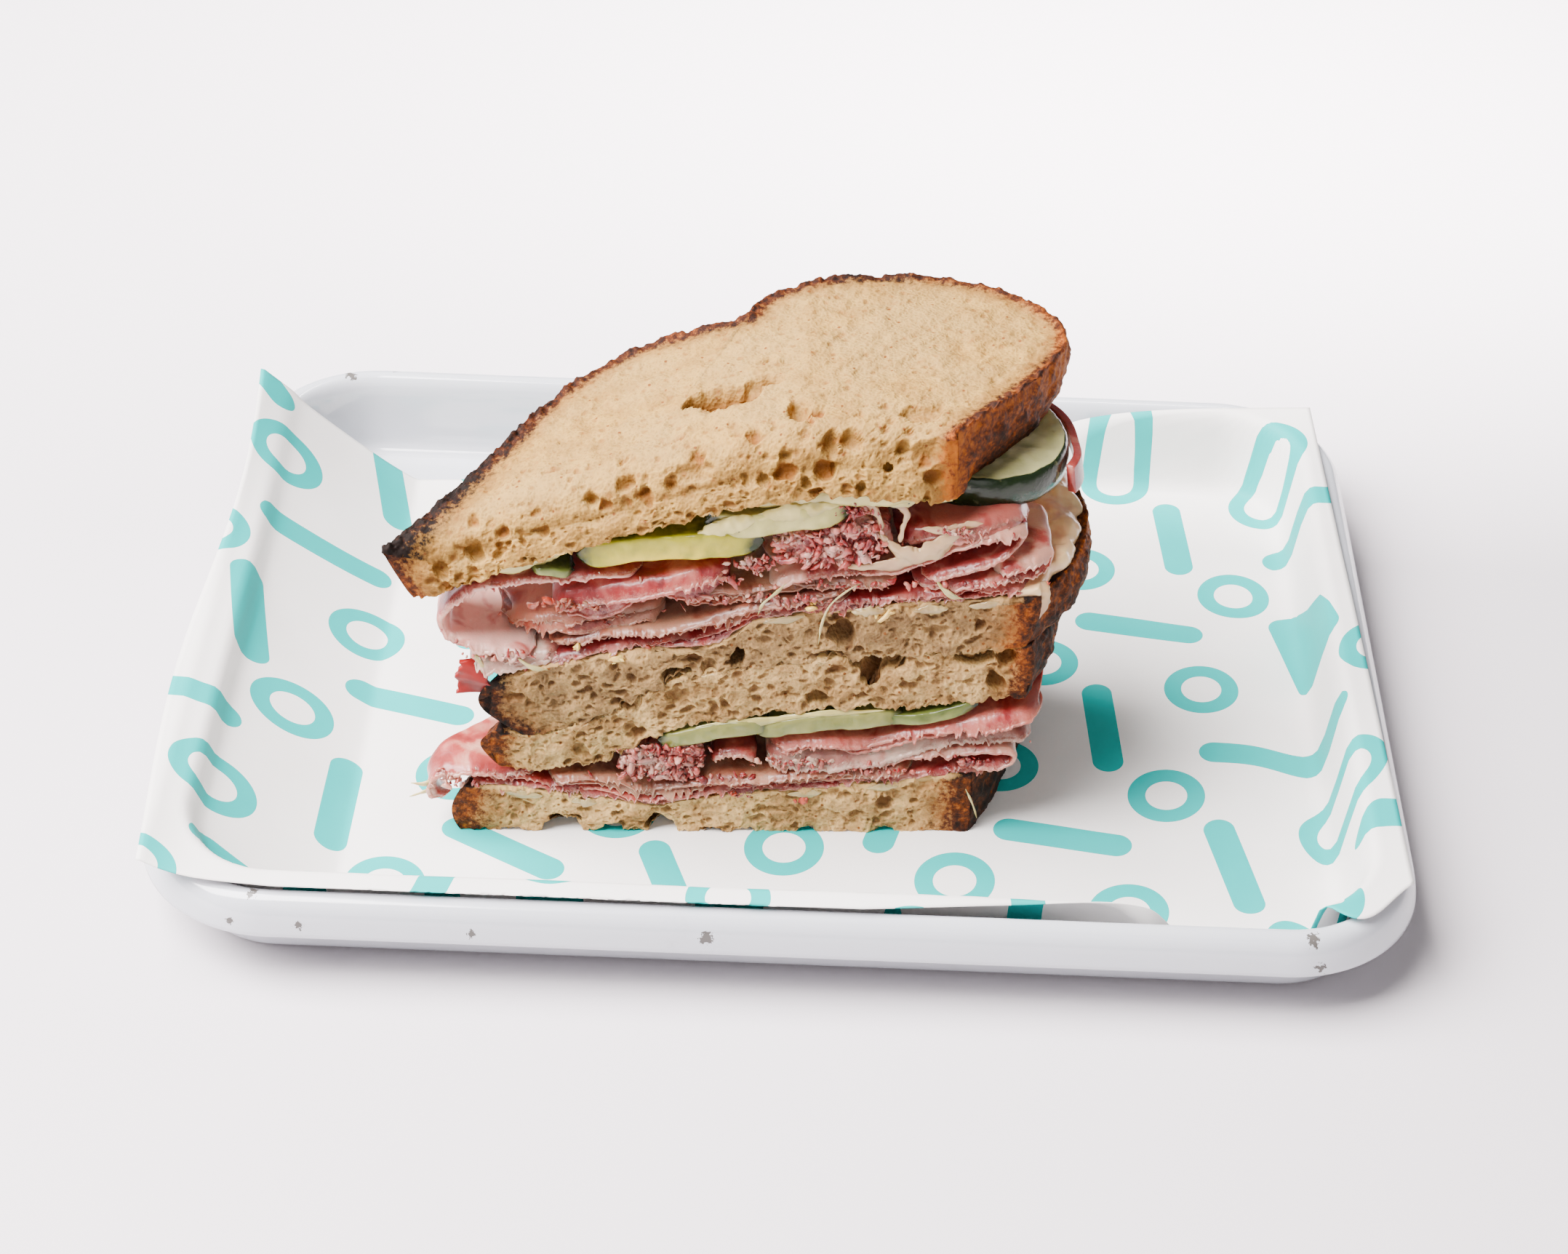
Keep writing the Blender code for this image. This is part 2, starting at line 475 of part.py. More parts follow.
# The paper is too stiff to follow the foot of the wall, so it starts its climb this far inside it
PAPER_EARLY = 0.0045
# It leaves the floor on the left before it meets the wall, and stands higher the further back it is
BRIDGE_START = -0.112
BRIDGE_LENGTH = 0.043
BRIDGE_RISE = (0.0262, 0.0135)


def paper_height(x, y):
    """Height of the paper: on the tray, or above it where it bridges to the left rim."""
    far = max(0.0, min(1.0, (y + 0.01) / 0.10))
    along = min(1.0, max(0.0, BRIDGE_START - x) / BRIDGE_LENGTH)
    bridge = TRAY_STEEL + (BRIDGE_RISE[0] + BRIDGE_RISE[1] * far ** 2) * along ** 1.15
    lying = tray_height(x, y, PAPER_EARLY)
    return PAPER_GAP + PAPER_SPRING * lying / TRAY_HEIGHT + (bridge ** 8 + lying ** 8) ** 0.125


def paper(finish):
    """The greaseproof liner: one thin sheet, turned a little in the tray, its ends up on the rim."""
    near_left, near_right, far_right, far_left = (Vector(c) for c in PAPER_CORNERS)

    def place(u, v, w):
        across = 2 * u - 1
        u = 0.5 + 0.5 * math.copysign(abs(across) ** 0.6, across)
        back = 2 * v - 1
        v = 0.5 + 0.5 * math.copysign(abs(back) ** 0.6, back)
        spot = near_left.lerp(near_right, u).lerp(far_left.lerp(far_right, u), v)
        wave = 0.0022 * math.sin(v * 6.5 - 0.8) * math.exp(-u * 14)
        bow = PAPER_BOW * (1 - (2 * u - 1) ** 2) * (1 - v) ** 2
        x, y = spot.x - wave, max(spot.y - bow, PAPER_FRONT)
        return x / CM, y / CM, (paper_height(x, y) + w * PAPER_THICKNESS) / CM

    sheet = bent_block("paper_liner", (26, 15, 1), place, finish)
    # Both faces split along the same diagonals, so that the thin sheet never crosses itself
    diagonals = sheet.modifiers.new("diagonals", "TRIANGULATE")
    diagonals.quad_method = "SHORTEST_DIAGONAL"
    return sheet


for old in list(bpy.data.objects):
    bpy.data.objects.remove(old)
collection = bpy.data.collections.new("ham_sandwich")
bpy.context.scene.collection.children.link(collection)

enamel = material("white_enamel", (0.86, 0.88, 0.90), 0.15)
liner = material("greaseproof_paper", (0.88, 0.86, 0.83), 0.55)
crumb = material("sourdough", (0.66, 0.47, 0.28), 0.85)
ham = material("cooked_ham", (0.72, 0.33, 0.30), 0.40)
gherkin = material("gherkin", (0.55, 0.56, 0.20), 0.30)
cream = material("aioli", (0.86, 0.80, 0.62), 0.30)
roast_pepper = material("roast_pepper", (0.45, 0.04, 0.03), 0.35)

food_frame = bpy.data.objects.new("food_frame", None)
food_frame.location = FOOD_PLACE
food_frame.rotation_euler = (0.0, 0.0, math.radians(FOOD_TURN))
collection.objects.link(food_frame)

tray(enamel)
paper(liner)
for slice_name, spec in BREAD.items():
    bread(slice_name, spec, crumb, food_frame)
for sheet_name, (half, thickness, share, path) in HAM.items():
    ham_sheet(sheet_name, half, thickness, share, path, ham, food_frame)
for heap_name, (half, depth, outline) in CHUNKS.items():
    chunk(heap_name, half, depth, outline, ham, food_frame)
for chip_name, (half, thickness, radius, path) in CUT_GHERKINS.items():
    cut_gherkin(chip_name, half, thickness, radius, path, gherkin, food_frame)
whole_gherkin("gherkin_upper_4", gherkin, food_frame)
curl("ham_upper_curl", ham, food_frame)
pepper("pepper_upper", roast_pepper, food_frame)
shown_spread("spread_upper", cream, food_frame)
for smear_name, spec in SPREADS.items():
    spread(smear_name, spec, cream, food_frame)
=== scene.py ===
"""Looks of a ham sandwich cut in two, its halves stacked on a paper-lined enamel tray.

The tables of the food are in centimetres, in the food's own frame: x runs along the cut, y from the
cut face into the food, z up from the tray's underside. The tray's and the paper's sizes are in metres.
"""
import itertools
import math
from types import SimpleNamespace

import bpy
from mathutils import Matrix, Vector
import numpy as np


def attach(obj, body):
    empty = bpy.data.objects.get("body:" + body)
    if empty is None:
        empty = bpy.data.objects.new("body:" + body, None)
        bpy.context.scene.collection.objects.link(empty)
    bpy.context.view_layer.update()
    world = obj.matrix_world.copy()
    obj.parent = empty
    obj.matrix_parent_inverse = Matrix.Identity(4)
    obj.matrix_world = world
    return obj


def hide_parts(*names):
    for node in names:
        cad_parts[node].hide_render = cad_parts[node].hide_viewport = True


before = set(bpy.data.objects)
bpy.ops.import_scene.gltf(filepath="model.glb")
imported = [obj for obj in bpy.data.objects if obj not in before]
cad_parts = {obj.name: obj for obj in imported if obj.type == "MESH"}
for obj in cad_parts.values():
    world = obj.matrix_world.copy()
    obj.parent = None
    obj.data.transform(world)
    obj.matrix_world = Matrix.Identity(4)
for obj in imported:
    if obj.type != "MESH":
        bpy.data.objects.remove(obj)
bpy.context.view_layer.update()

CM = 0.01
MM = 0.001

# Where the food stands on the tray, in metres and degrees
FOOD_PLACE = (-0.0187, -0.0604)
FOOD_TURN = 2.84

# The tray, in metres
TRAY_LENGTH = 0.320
TRAY_WIDTH = 0.240
TRAY_HEIGHT = 0.025
TRAY_CORNER = 0.036
TRAY_STEEL = 0.0012
# The tray's wall from its outer edge inwards, as inset in centimetres and share of the height
TRAY_WALL = [(0.0, 0.60), (0.03, 0.68), (0.12, 0.83), (0.28, 0.95), (0.50, 1.0), (0.72, 0.98), (0.88, 0.86),
             (0.96, 0.66), (1.03, 0.40), (1.12, 0.17), (1.27, 0.05), (1.55, 0.0)]
# The paper: its corners on plan, how far its front edge bows out and is tucked in at the right, where the
# tray's wall stops it, its gap over the tray, how early it leaves the tray's floor for the walls, its
# thickness, how far it springs off the rim, its soft dents and the lift that they need, its wave at the left
# edge, its size when flat, and the points of its grid
PAPER_CORNERS = ((-0.1575, -0.1112), (0.1565, -0.0945), (0.1525, 0.1120), (-0.1570, 0.0875))
PAPER_BOW = 0.013
PAPER_TUCK = 0.013
PAPER_FRONT = -0.1145
PAPER_GAP = 0.0006
PAPER_EARLY = 0.0045
PAPER_SHEET = 0.00025
PAPER_SPRING = 0.0010
PAPER_DENT = 0.0004
PAPER_LIFT = 0.0002
PAPER_WAVE = 0.0022
PAPER_FLAT = (0.314, 0.215)
PAPER_GRID = (250, 180)
# Where the paper bridges from the tray's floor to the left rim: its start, its length, and its rise at the
# front and what is added at the back
BRIDGE_START = -0.112
BRIDGE_LENGTH = 0.043
BRIDGE_RISE = (0.0262, 0.0135)

# Heights of the bread's faces where the cut meets them, as (x, z), from the bottom slice up
LEVELS = {
    "crumb_base": [(-6.5, 0.25), (7.9, 0.25)],
    "lower_filling_floor": [(-6.6, 1.75), (-5.4, 1.72), (-4.0, 1.52), (-2.0, 1.20), (-1.4, 1.07),
                            (-0.7, 1.28), (1.0, 1.55), (3.4, 1.79), (6.4, 2.20), (7.9, 2.25)],
    "lower_filling_roof": [(-6.0, 2.75), (-5.1, 2.35), (-3.8, 2.36), (-2.5, 2.70), (-1.5, 3.45), (0.4, 4.02),
                           (2.2, 4.28), (4.1, 4.50), (5.4, 4.45), (6.8, 4.75), (8.4, 4.80)],
    "seam": [(-5.6, 3.60), (-4.5, 3.46), (-3.3, 3.80), (-2.5, 4.22), (-1.1, 5.16), (0.4, 5.60),
             (1.6, 5.75), (3.6, 6.03), (5.5, 6.20), (8.4, 6.55)],
    "upper_filling_floor": [(-5.6, 5.15), (-4.0, 5.72), (-2.8, 6.00), (-1.8, 6.22), (-0.3, 6.30),
                            (0.4, 6.62), (1.0, 7.10), (1.8, 7.30), (4.0, 7.62), (5.4, 7.80), (7.0, 7.88),
                            (9.5, 8.05)],
    "upper_filling_roof": [(-7.5, 7.75), (-6.8, 8.03), (-5.9, 8.42), (-4.7, 9.03), (-3.6, 9.36),
                           (-2.5, 9.80), (-1.3, 10.15), (0.4, 10.73), (1.9, 11.00), (3.0, 11.18),
                           (4.7, 11.00), (5.8, 10.95), (8.8, 11.05)],
    "crown": [(-8.2, 9.20), (-7.4, 9.45), (-6.0, 10.00), (-4.7, 10.60), (-2.6, 11.30), (0.4, 12.30),
              (1.9, 12.60), (3.0, 12.75), (8.8, 12.80)],
}
# How much the top slice falls for each centimetre towards the back
ROOF_TILT = -0.06

# Bread slices: the levels of floor and roof; ends of the cut at floor, middle and roof; how far the cut leans
# forward at its foot and the crust inwards at its own; how rounded the roof's front edge is; how fast the
# crust fades from the ends of the cut, and from the rim, by x; shares of large, medium and small bubbles;
# stations along the slice and points of each stretch of its loops; the crust's outline; and how dark it is
# baked along that outline
BREAD = {
    "bread_lower_bottom": dict(
        floor="crumb_base", roof="lower_filling_floor", left=(-6.45, -6.65, -6.30), right=(6.74, 6.80, 6.70),
        lean=0.0, crust_lean=0.0, round=0.06, heel=0.26, rim=[(0, 0.6)], crumb=(0.60, 0.80, 0.95),
        grid=(640, 60, 5, 14, 26, 8),
        crust=[(-4.9, 2.9), (-3.1, 4.8), (-1.0, 5.8), (2.0, 6.2), (4.3, 7.2), (6.3, 7.3), (8.3, 6.2),
               (8.8, 4.8), (7.95, 2.5), (7.35, 0.9)],
        bake=[(0, 0.48), (0.15, 0.6), (0.5, 0.35), (0.85, 0.45), (1, 0.50)]),
    "bread_lower_top": dict(
        floor="lower_filling_roof", roof="seam", left=(-5.40, -5.85, -5.45), right=(7.90, 8.05, 7.95),
        lean=0.0, crust_lean=0.0, round=0.08, heel=0.40, rim=[(0, 0.6)], crumb=(0.75, 0.80, 0.75),
        grid=(640, 68, 5, 10, 28, 8),
        crust=[(-3.9, 2.7), (-2.3, 4.6), (-0.4, 5.6), (2.4, 6.1), (4.9, 7.0), (6.9, 7.2), (8.7, 6.3),
               (9.1, 4.6), (8.8, 2.0)],
        bake=[(0, 0.32), (0.15, 0.6), (0.5, 0.35), (0.85, 0.42), (1, 0.56)]),
    "bread_upper_bottom": dict(
        floor="seam", roof="upper_filling_floor", left=(-4.75, -5.80, -5.55), right=(7.80, 8.00, 7.90),
        lean=0.0, crust_lean=0.0, round=0.12, heel=0.34, rim=[(0, 0.6)], crumb=(0.75, 0.80, 0.75),
        grid=(640, 68, 6, 18, 28, 8),
        crust=[(-3.6, 2.8), (-2.1, 4.6), (-0.2, 5.6), (2.6, 6.2), (5.0, 7.2), (6.9, 7.4), (8.4, 6.8),
               (9.3, 5.4), (9.6, 3.5), (9.2, 1.6)],
        bake=[(0, 0.76), (0.1, 0.70), (0.5, 0.4), (0.85, 0.24), (1, 0.40)]),
    "bread_upper_top": dict(
        floor="upper_filling_roof", roof="crown", left=(-7.35, -7.75, -8.05), right=(5.80, 5.78, 5.70),
        lean=0.28, crust_lean=0.26, round=0.95, heel=0.60, crumb=(0.50, 0.60, 0.55),
        rim=[(-7.6, 0.30), (-5.0, 0.42), (-3.5, 0.62), (9, 0.70)],
        grid=(500, 52, 26, 86, 28, 6),
        crust=[(-6.45, 1.75), (-5.1, 3.4), (-3.8, 5.05), (-2.1, 6.1), (-0.4, 6.3), (0.85, 6.35), (1.0, 6.8),
               (1.4, 7.2), (2.5, 7.7), (3.8, 7.95), (5.5, 7.95), (7.1, 7.4), (8.45, 6.2), (8.85, 4.7),
               (8.0, 2.8)],
        bake=[(0, 0.60), (0.10, 0.50), (0.22, 0.24), (0.36, 0.20), (0.46, 0.28), (0.62, 0.26), (0.78, 0.06),
              (0.88, 0.36), (0.95, 0.24), (1, 0.06)]),
}
# How far the crust bulges out halfway up, and how far it is drawn in at floor and roof
CRUST_BULGE = 0.16
CRUST_DRAW = 0.08
# The middle of a slice on plan, which its crust swells away from
SLICE_MIDDLE = (1.0, 2.6)
# How far the two slices at the seam press into each other
SEAM_PRESS = 0.02
# The edge of a slice is rounded enough to show its sliced face from this radius up
WELL_ROUNDED = 0.3

# Large hollows of the crumb, by slice: their centre and their radii, each along x, y and z
HOLLOWS = {
    "bread_lower_bottom": [
        ((-3.79, 0.0, 0.30), (0.55, 0.60, 0.32)), ((-1.23, 0.0, 0.34), (0.40, 0.60, 0.42)),
        ((-2.50, 0.0, 0.28), (0.30, 0.40, 0.22)), ((1.55, 0.0, 0.95), (0.28, 0.25, 0.18)),
    ],
    "bread_lower_top": [
        ((4.20, 0.0, 5.88), (0.74, 1.30, 0.38)), ((4.00, 0.0, 5.50), (0.32, 0.90, 0.40)),
        ((6.55, 0.0, 6.08), (0.52, 1.30, 0.26)), ((7.36, 0.0, 6.12), (0.30, 1.10, 0.28)),
        ((7.13, 0.0, 5.26), (0.28, 0.60, 0.30)), ((2.66, 0.0, 4.74), (0.32, 0.50, 0.24)),
        ((-2.04, 0.0, 4.52), (0.30, 0.50, 0.26)), ((-3.27, 0.0, 2.92), (0.30, 0.22, 0.22)),
        ((-0.90, 0.0, 4.72), (0.30, 0.24, 0.25)),
    ],
    "bread_upper_bottom": [
        ((3.25, 0.0, 6.78), (0.38, 0.60, 0.42)), ((0.57, 0.0, 6.00), (0.18, 0.80, 0.36)),
        ((5.63, 0.0, 6.93), (0.36, 0.16, 0.17)), ((-0.10, 0.0, 5.75), (0.26, 0.22, 0.24)),
        ((-0.93, 0.0, 5.40), (0.34, 0.50, 0.24)), ((3.05, 0.0, 6.02), (0.42, 0.30, 0.20)),
    ],
    "bread_upper_top": [
        ((0.15, 2.60, 12.10), (1.05, 0.50, 0.95)), ((1.10, 2.95, 12.40), (0.55, 0.26, 0.40)),
        ((1.20, 3.90, 12.40), (0.30, 0.18, 0.22)), ((1.95, 1.30, 12.62), (0.28, 0.55, 0.40)),
        ((2.72, 0.25, 12.35), (0.22, 0.35, 0.60)), ((4.95, 1.15, 12.78), (0.55, 0.42, 0.26)),
        ((4.98, -0.05, 12.25), (0.52, 0.20, 0.36)), ((-0.60, 0.05, 11.75), (0.58, 0.26, 0.52)),
        ((1.14, 0.0, 11.40), (0.14, 0.22, 0.22)), ((2.22, 0.0, 11.38), (0.20, 0.30, 0.16)),
        ((3.51, 0.0, 11.36), (0.15, 0.35, 0.28)), ((0.75, 0.0, 11.50), (0.11, 0.15, 0.20)),
        ((-6.66, 0.00, 8.63), (0.24, 0.30, 0.24)), ((-5.82, 0.00, 9.20), (0.28, 0.30, 0.28)),
        ((-5.14, 0.00, 9.18), (0.20, 0.30, 0.20)), ((-5.62, 0.00, 8.48), (0.18, 0.30, 0.18)),
        ((-4.56, 0.00, 9.21), (0.18, 0.30, 0.18)), ((-2.18, 0.22, 11.12), (0.25, 0.30, 0.24)),
        ((-1.65, 0.08, 10.92), (0.20, 0.30, 0.20)), ((-3.05, 0.04, 10.68), (0.20, 0.30, 0.20)),
        ((-0.97, 0.20, 11.22), (0.16, 0.30, 0.18)), ((3.20, 0.28, 12.45), (0.26, 0.30, 0.30)),
        ((4.51, 0.12, 12.24), (0.24, 0.30, 0.24)), ((4.08, 0.00, 11.87), (0.16, 0.30, 0.16)),
        ((2.77, 0.00, 11.74), (0.16, 0.30, 0.16)), ((1.60, 0.08, 12.02), (0.18, 0.30, 0.18)),
    ],
}

# How deep the filling of each half reaches behind the cut, as (x, y)
REACH = {
    "lower": [(-7.6, 0.5), (-7.0, 1.0), (-6.3, 1.7), (-5.6, 2.4), (-5.0, 2.7), (-3.5, 3.9), (-2.0, 5.0),
              (0.0, 5.5), (3.0, 6.0), (5.0, 6.7), (7.0, 6.6), (8.1, 5.4), (8.6, 3.2)],
    "upper": [(-7.0, 1.6), (-6.2, 2.4), (-5.0, 3.0), (-3.5, 4.2), (-2.0, 5.1), (0.0, 5.5), (3.0, 6.3),
              (5.0, 6.9), (7.0, 6.7), (8.2, 5.7), (8.6, 4.0)],
}

# Folded ham: half, thickness, leaves, share of the reach, finish, how far the front hangs down, how much
# paler one side is painted (painted light on one face of the folds, painted shade on the other), how far the
# front lies behind the cut as (x, y), and the path at the cut as (x, z)
HAM = {
    "ham_lower_bottom": dict(
        half="lower", thick=0.20, leaves=2, share=0.97, finish="rose", hang=0.10, paler=0.1,
        front=[(-6, 0.10), (0, 0.05), (7, 0.14)],
        path=[(-6.20, 1.93), (-5.0, 1.88), (-4.0, 1.74), (-2.9, 1.58), (-1.8, 1.36), (-1.1, 1.34),
              (0.0, 1.60), (1.0, 1.75), (2.2, 1.88), (4.4, 2.08), (6.6, 2.40), (7.3, 2.44)]),
    "ham_lower_left_fold": dict(
        half="lower", thick=0.22, leaves=1, share=0.92, finish="pale", hang=0.05, paler=0.15,
        front=[(-7.2, 0.02), (-6, 0.0), (-4.5, 0.10)],
        path=[(-4.45, 2.12), (-5.20, 2.14), (-6.10, 2.26), (-6.85, 2.20), (-7.22, 1.80), (-7.20, 1.34),
              (-6.90, 1.08)]),
    "ham_lower_beige": dict(
        half="lower", thick=0.24, leaves=2, share=0.98, finish="beige", hang=0.12, paler=0.1,
        front=[(-4, 0.10), (0, 0.02), (5, 0.10)],
        path=[(-4.15, 2.03), (-3.2, 1.96), (-2.4, 1.86), (-1.5, 1.72), (-0.6, 1.86), (0.3, 2.05),
              (1.5, 2.10), (2.7, 2.20), (3.8, 2.30), (5.2, 2.42)]),
    "ham_lower_loop": dict(
        half="lower", thick=0.26, leaves=1, share=0.80, finish="pale", hang=0.05, paler=-0.4,
        front=[(0, 0.10), (1.1, 0.04)],
        path=[(0.05, 2.40), (0.22, 2.74), (0.62, 2.92), (1.00, 2.72), (1.12, 2.40)]),
    "ham_lower_right_fold": dict(
        half="lower", thick=0.20, leaves=1, share=0.95, finish="pale", hang=0.10, paler=0.4,
        front=[(1.4, 0.06), (4, 0.12), (7, 0.0)],
        path=[(1.45, 2.50), (2.3, 2.54), (3.3, 2.62), (4.4, 2.68), (5.4, 2.80), (6.4, 2.98), (7.3, 3.14),
              (7.75, 3.02), (7.70, 2.76), (7.2, 2.68), (6.5, 2.66)]),
    "ham_lower_middle": dict(
        half="lower", thick=0.30, leaves=1, share=0.90, finish="fat", hang=0.24, paler=0.1,
        front=[(1.4, 0.02), (3.5, -0.02), (5, 0.16), (8, 0.12)],
        path=[(1.45, 2.86), (2.1, 2.82), (2.9, 2.84), (3.7, 2.92), (4.6, 3.02), (5.5, 3.20), (6.3, 3.34),
              (7.2, 3.46), (8.2, 3.42)]),
    "ham_lower_top": dict(
        half="lower", thick=0.34, leaves=2, share=1.00, finish="rose", hang=0.16, paler=0.25,
        front=[(1.5, 0.14), (5, 0.06), (7, -0.04), (8.4, 0.10)],
        path=[(1.55, 3.10), (2.4, 3.24), (3.1, 3.30), (3.8, 3.24), (4.6, 3.38), (5.5, 3.64), (6.4, 3.92),
              (7.4, 4.14), (8.4, 4.24)]),
    "ham_upper_bottom": dict(
        half="upper", thick=0.22, leaves=2, share=0.98, finish="rose", hang=0.10, paler=0.1,
        front=[(-5, 0.16), (0, 0.10), (3, 0.04), (8, 0.10)],
        path=[(-4.90, 5.52), (-4.4, 5.66), (-3.6, 5.98), (-2.4, 6.30), (-1.1, 6.48), (0.1, 6.74),
              (1.0, 7.30), (2.0, 7.54), (3.4, 7.74), (4.8, 7.94), (6.3, 8.08), (7.8, 8.22)]),
    "ham_upper_beige": dict(
        half="upper", thick=0.30, leaves=2, share=0.94, finish="beige", hang=0.08, paler=0.2,
        front=[(-4, 0.20), (-1, 0.02), (3.4, 0.10)],
        path=[(-4.05, 6.28), (-3.3, 6.50), (-2.3, 6.72), (-1.1, 6.90), (0.1, 7.24), (1.2, 7.60), (2.3, 7.84),
              (3.4, 8.02)]),
    "ham_upper_left_fold": dict(
        half="upper", thick=0.30, leaves=1, share=1.00, finish="fold", hang=0.03, paler=0.5,
        front=[(-6.8, 0.04), (-5, 0.0), (-3.8, 0.02), (-1.7, 0.14)],
        path=[(-1.75, 8.50), (-2.6, 8.48), (-3.8, 8.46), (-4.9, 8.34), (-5.9, 8.06), (-6.45, 7.66),
              (-6.74, 7.15), (-6.72, 6.70), (-6.40, 6.40), (-5.8, 6.24), (-5.0, 6.13), (-4.40, 6.14)]),
    "ham_upper_white": dict(
        half="upper", thick=0.24, leaves=1, share=0.90, finish="fat", hang=0.20, paler=0.1,
        front=[(-6, 0.0), (-3.8, 0.06)],
        path=[(-6.05, 6.04), (-5.6, 5.90), (-5.0, 5.86), (-4.4, 5.94), (-3.8, 6.10)]),
    "ham_upper_inner": dict(
        half="upper", thick=0.26, leaves=2, share=0.88, finish="smoked", hang=0.22, paler=0.2,
        front=[(-5.3, 0.95), (-4.4, 0.35), (-3.4, 0.12), (-1.2, 0.30)],
        path=[(-5.30, 6.72), (-4.6, 6.90), (-3.9, 7.04), (-3.2, 7.12), (-2.2, 7.22), (-1.2, 7.36)]),
    "ham_upper_ragged": dict(
        half="upper", thick=0.46, leaves=2, share=0.93, finish="rose", hang=0.42, paler=0.1,
        front=[(-4, 0.30), (-2.8, 0.06), (-0.5, 0.0), (0.4, 0.06)],
        path=[(-3.95, 7.74), (-3.2, 7.86), (-2.3, 8.06), (-1.4, 8.34), (-0.5, 8.62), (0.35, 8.74)]),
    "ham_upper_grey": dict(
        half="upper", thick=0.30, leaves=2, share=0.96, finish="beige", hang=0.10, paler=0.3,
        front=[(-0.8, 0.06), (2, 0.12), (4.5, 0.04)],
        path=[(-0.80, 7.84), (0.1, 8.06), (1.0, 8.04), (1.9, 8.20), (2.7, 8.30), (3.7, 8.36), (4.5, 8.42)]),
    "ham_upper_thin": dict(
        half="upper", thick=0.16, leaves=1, share=0.92, finish="smoked", hang=0.06, paler=0.1,
        front=[(-0.9, 0.16), (1.8, 0.12)],
        path=[(-0.85, 7.50), (0.0, 7.66), (0.9, 7.84), (1.8, 7.97)]),
    "ham_upper_low_fold": dict(
        half="upper", thick=0.18, leaves=1, share=0.45, finish="pale", hang=0.12, paler=-0.3,
        front=[(5, 0.06), (7.2, 0.06), (7.9, 0.22), (8.3, 0.62)],
        path=[(4.95, 8.34), (5.6, 8.36), (6.4, 8.44), (7.2, 8.54), (7.9, 8.62), (8.3, 8.82), (8.12, 8.99),
              (7.4, 8.90), (6.9, 8.80)]),
    "ham_upper_right_fold": dict(
        half="upper", thick=0.22, leaves=1, share=1.00, finish="pale", hang=0.09, paler=0.3,
        front=[(1.3, 0.10), (5, 0.0), (6.6, 0.0), (7.2, 0.14), (7.6, 0.48)],
        path=[(1.35, 8.46), (2.5, 8.60), (3.6, 8.68), (4.6, 8.84), (5.4, 9.18), (6.1, 9.50), (6.75, 9.74),
              (7.30, 9.80), (7.60, 9.62), (7.40, 9.32), (6.6, 9.00), (5.8, 8.76), (5.1, 8.58)]),
    "ham_upper_top": dict(
        half="upper", thick=0.34, leaves=2, share=0.60, finish="rose", hang=0.26, paler=0.25,
        front=[(4.6, 0.40), (5.8, 0.12), (6.6, 0.12), (7.2, 0.34), (7.7, 0.90)],
        path=[(4.60, 9.40), (5.2, 9.76), (5.9, 9.98), (6.7, 10.08), (7.3, 10.04), (7.7, 9.84)]),
}

# Heaps of shredded ham: half, share of the reach, and the closed outline of the cut as (x, z), from the left
# end round the top
CHUNKS = {
    "ham_lower_chunk": ("lower", 0.85, [
        (-2.35, 2.15), (-2.20, 2.75), (-1.45, 2.95), (-0.30, 3.02), (-0.18, 2.60), (-0.22, 2.32),
        (-1.20, 2.08)]),
    "ham_upper_chunk": ("upper", 0.80, [
        (1.45, 9.05), (1.62, 9.82), (2.60, 9.98), (3.70, 10.20), (4.25, 9.95), (4.10, 9.15), (2.80, 8.92)]),
}

# Torn shreds of ham that lie loose on the cut, by finish: centre as (x, z), spread along x and z, and count
SHREDS = {
    "rose": [
        ((3.4, 10.55), (0.5, 0.16), 46), ((3.2, 8.36), (1.6, 0.12), 22), ((-0.9, 3.0), (0.9, 0.10), 36),
        ((-0.5, 2.10), (1.8, 0.08), 50), ((3.8, 2.36), (1.8, 0.08), 40), ((6.8, 2.74), (0.6, 0.10), 24),
        ((5.6, 8.36), (1.4, 0.10), 24),
    ],
    "pale": [
        ((0.1, 8.40), (0.9, 0.10), 30), ((0.95, 8.92), (0.45, 0.22), 56), ((5.9, 9.95), (0.5, 0.10), 26),
        ((1.9, 7.86), (1.2, 0.10), 40), ((2.6, 2.62), (1.3, 0.12), 46), ((-6.6, 1.9), (0.4, 0.20), 20),
        ((-5.2, 6.0), (0.8, 0.12), 34),
    ],
    "smoked": [((-3.4, 7.62), (0.8, 0.10), 40)],
}

# Gherkin slices that the knife went through: half, thickness, radius into the food, finish, path at the cut
CUT_GHERKINS = {
    "gherkin_lower_1": ("lower", 0.50, 2.3, "creamed", [
        (-1.30, 3.24), (-0.5, 3.46), (0.4, 3.68), (1.50, 3.76)]),
    "gherkin_lower_2": ("lower", 0.50, 2.4, "creamed", [
        (1.15, 3.60), (2.2, 3.84), (3.3, 3.98), (4.90, 4.08)]),
    "gherkin_lower_3": ("lower", 0.36, 2.1, "dark", [(4.35, 3.98), (5.5, 4.16), (6.70, 4.52)]),
    "gherkin_upper_1": ("upper", 0.72, 2.6, "flesh", [
        (-3.30, 9.12), (-2.1, 9.36), (-0.9, 9.50), (0.1, 9.56), (1.15, 9.56)]),
    "gherkin_upper_2": ("upper", 0.66, 2.3, "veiled", [
        (-0.20, 10.10), (0.9, 10.20), (1.9, 10.38), (3.22, 10.54)]),
    "gherkin_upper_3": ("upper", 0.24, 1.6, "dark", [(-4.45, 8.72), (-4.0, 8.74), (-3.45, 8.66)]),
}
# How far the middle of a gherkin's cut stands forward of the bread
GHERKIN_BOW = {"lower": 0.12, "upper": 0.24}
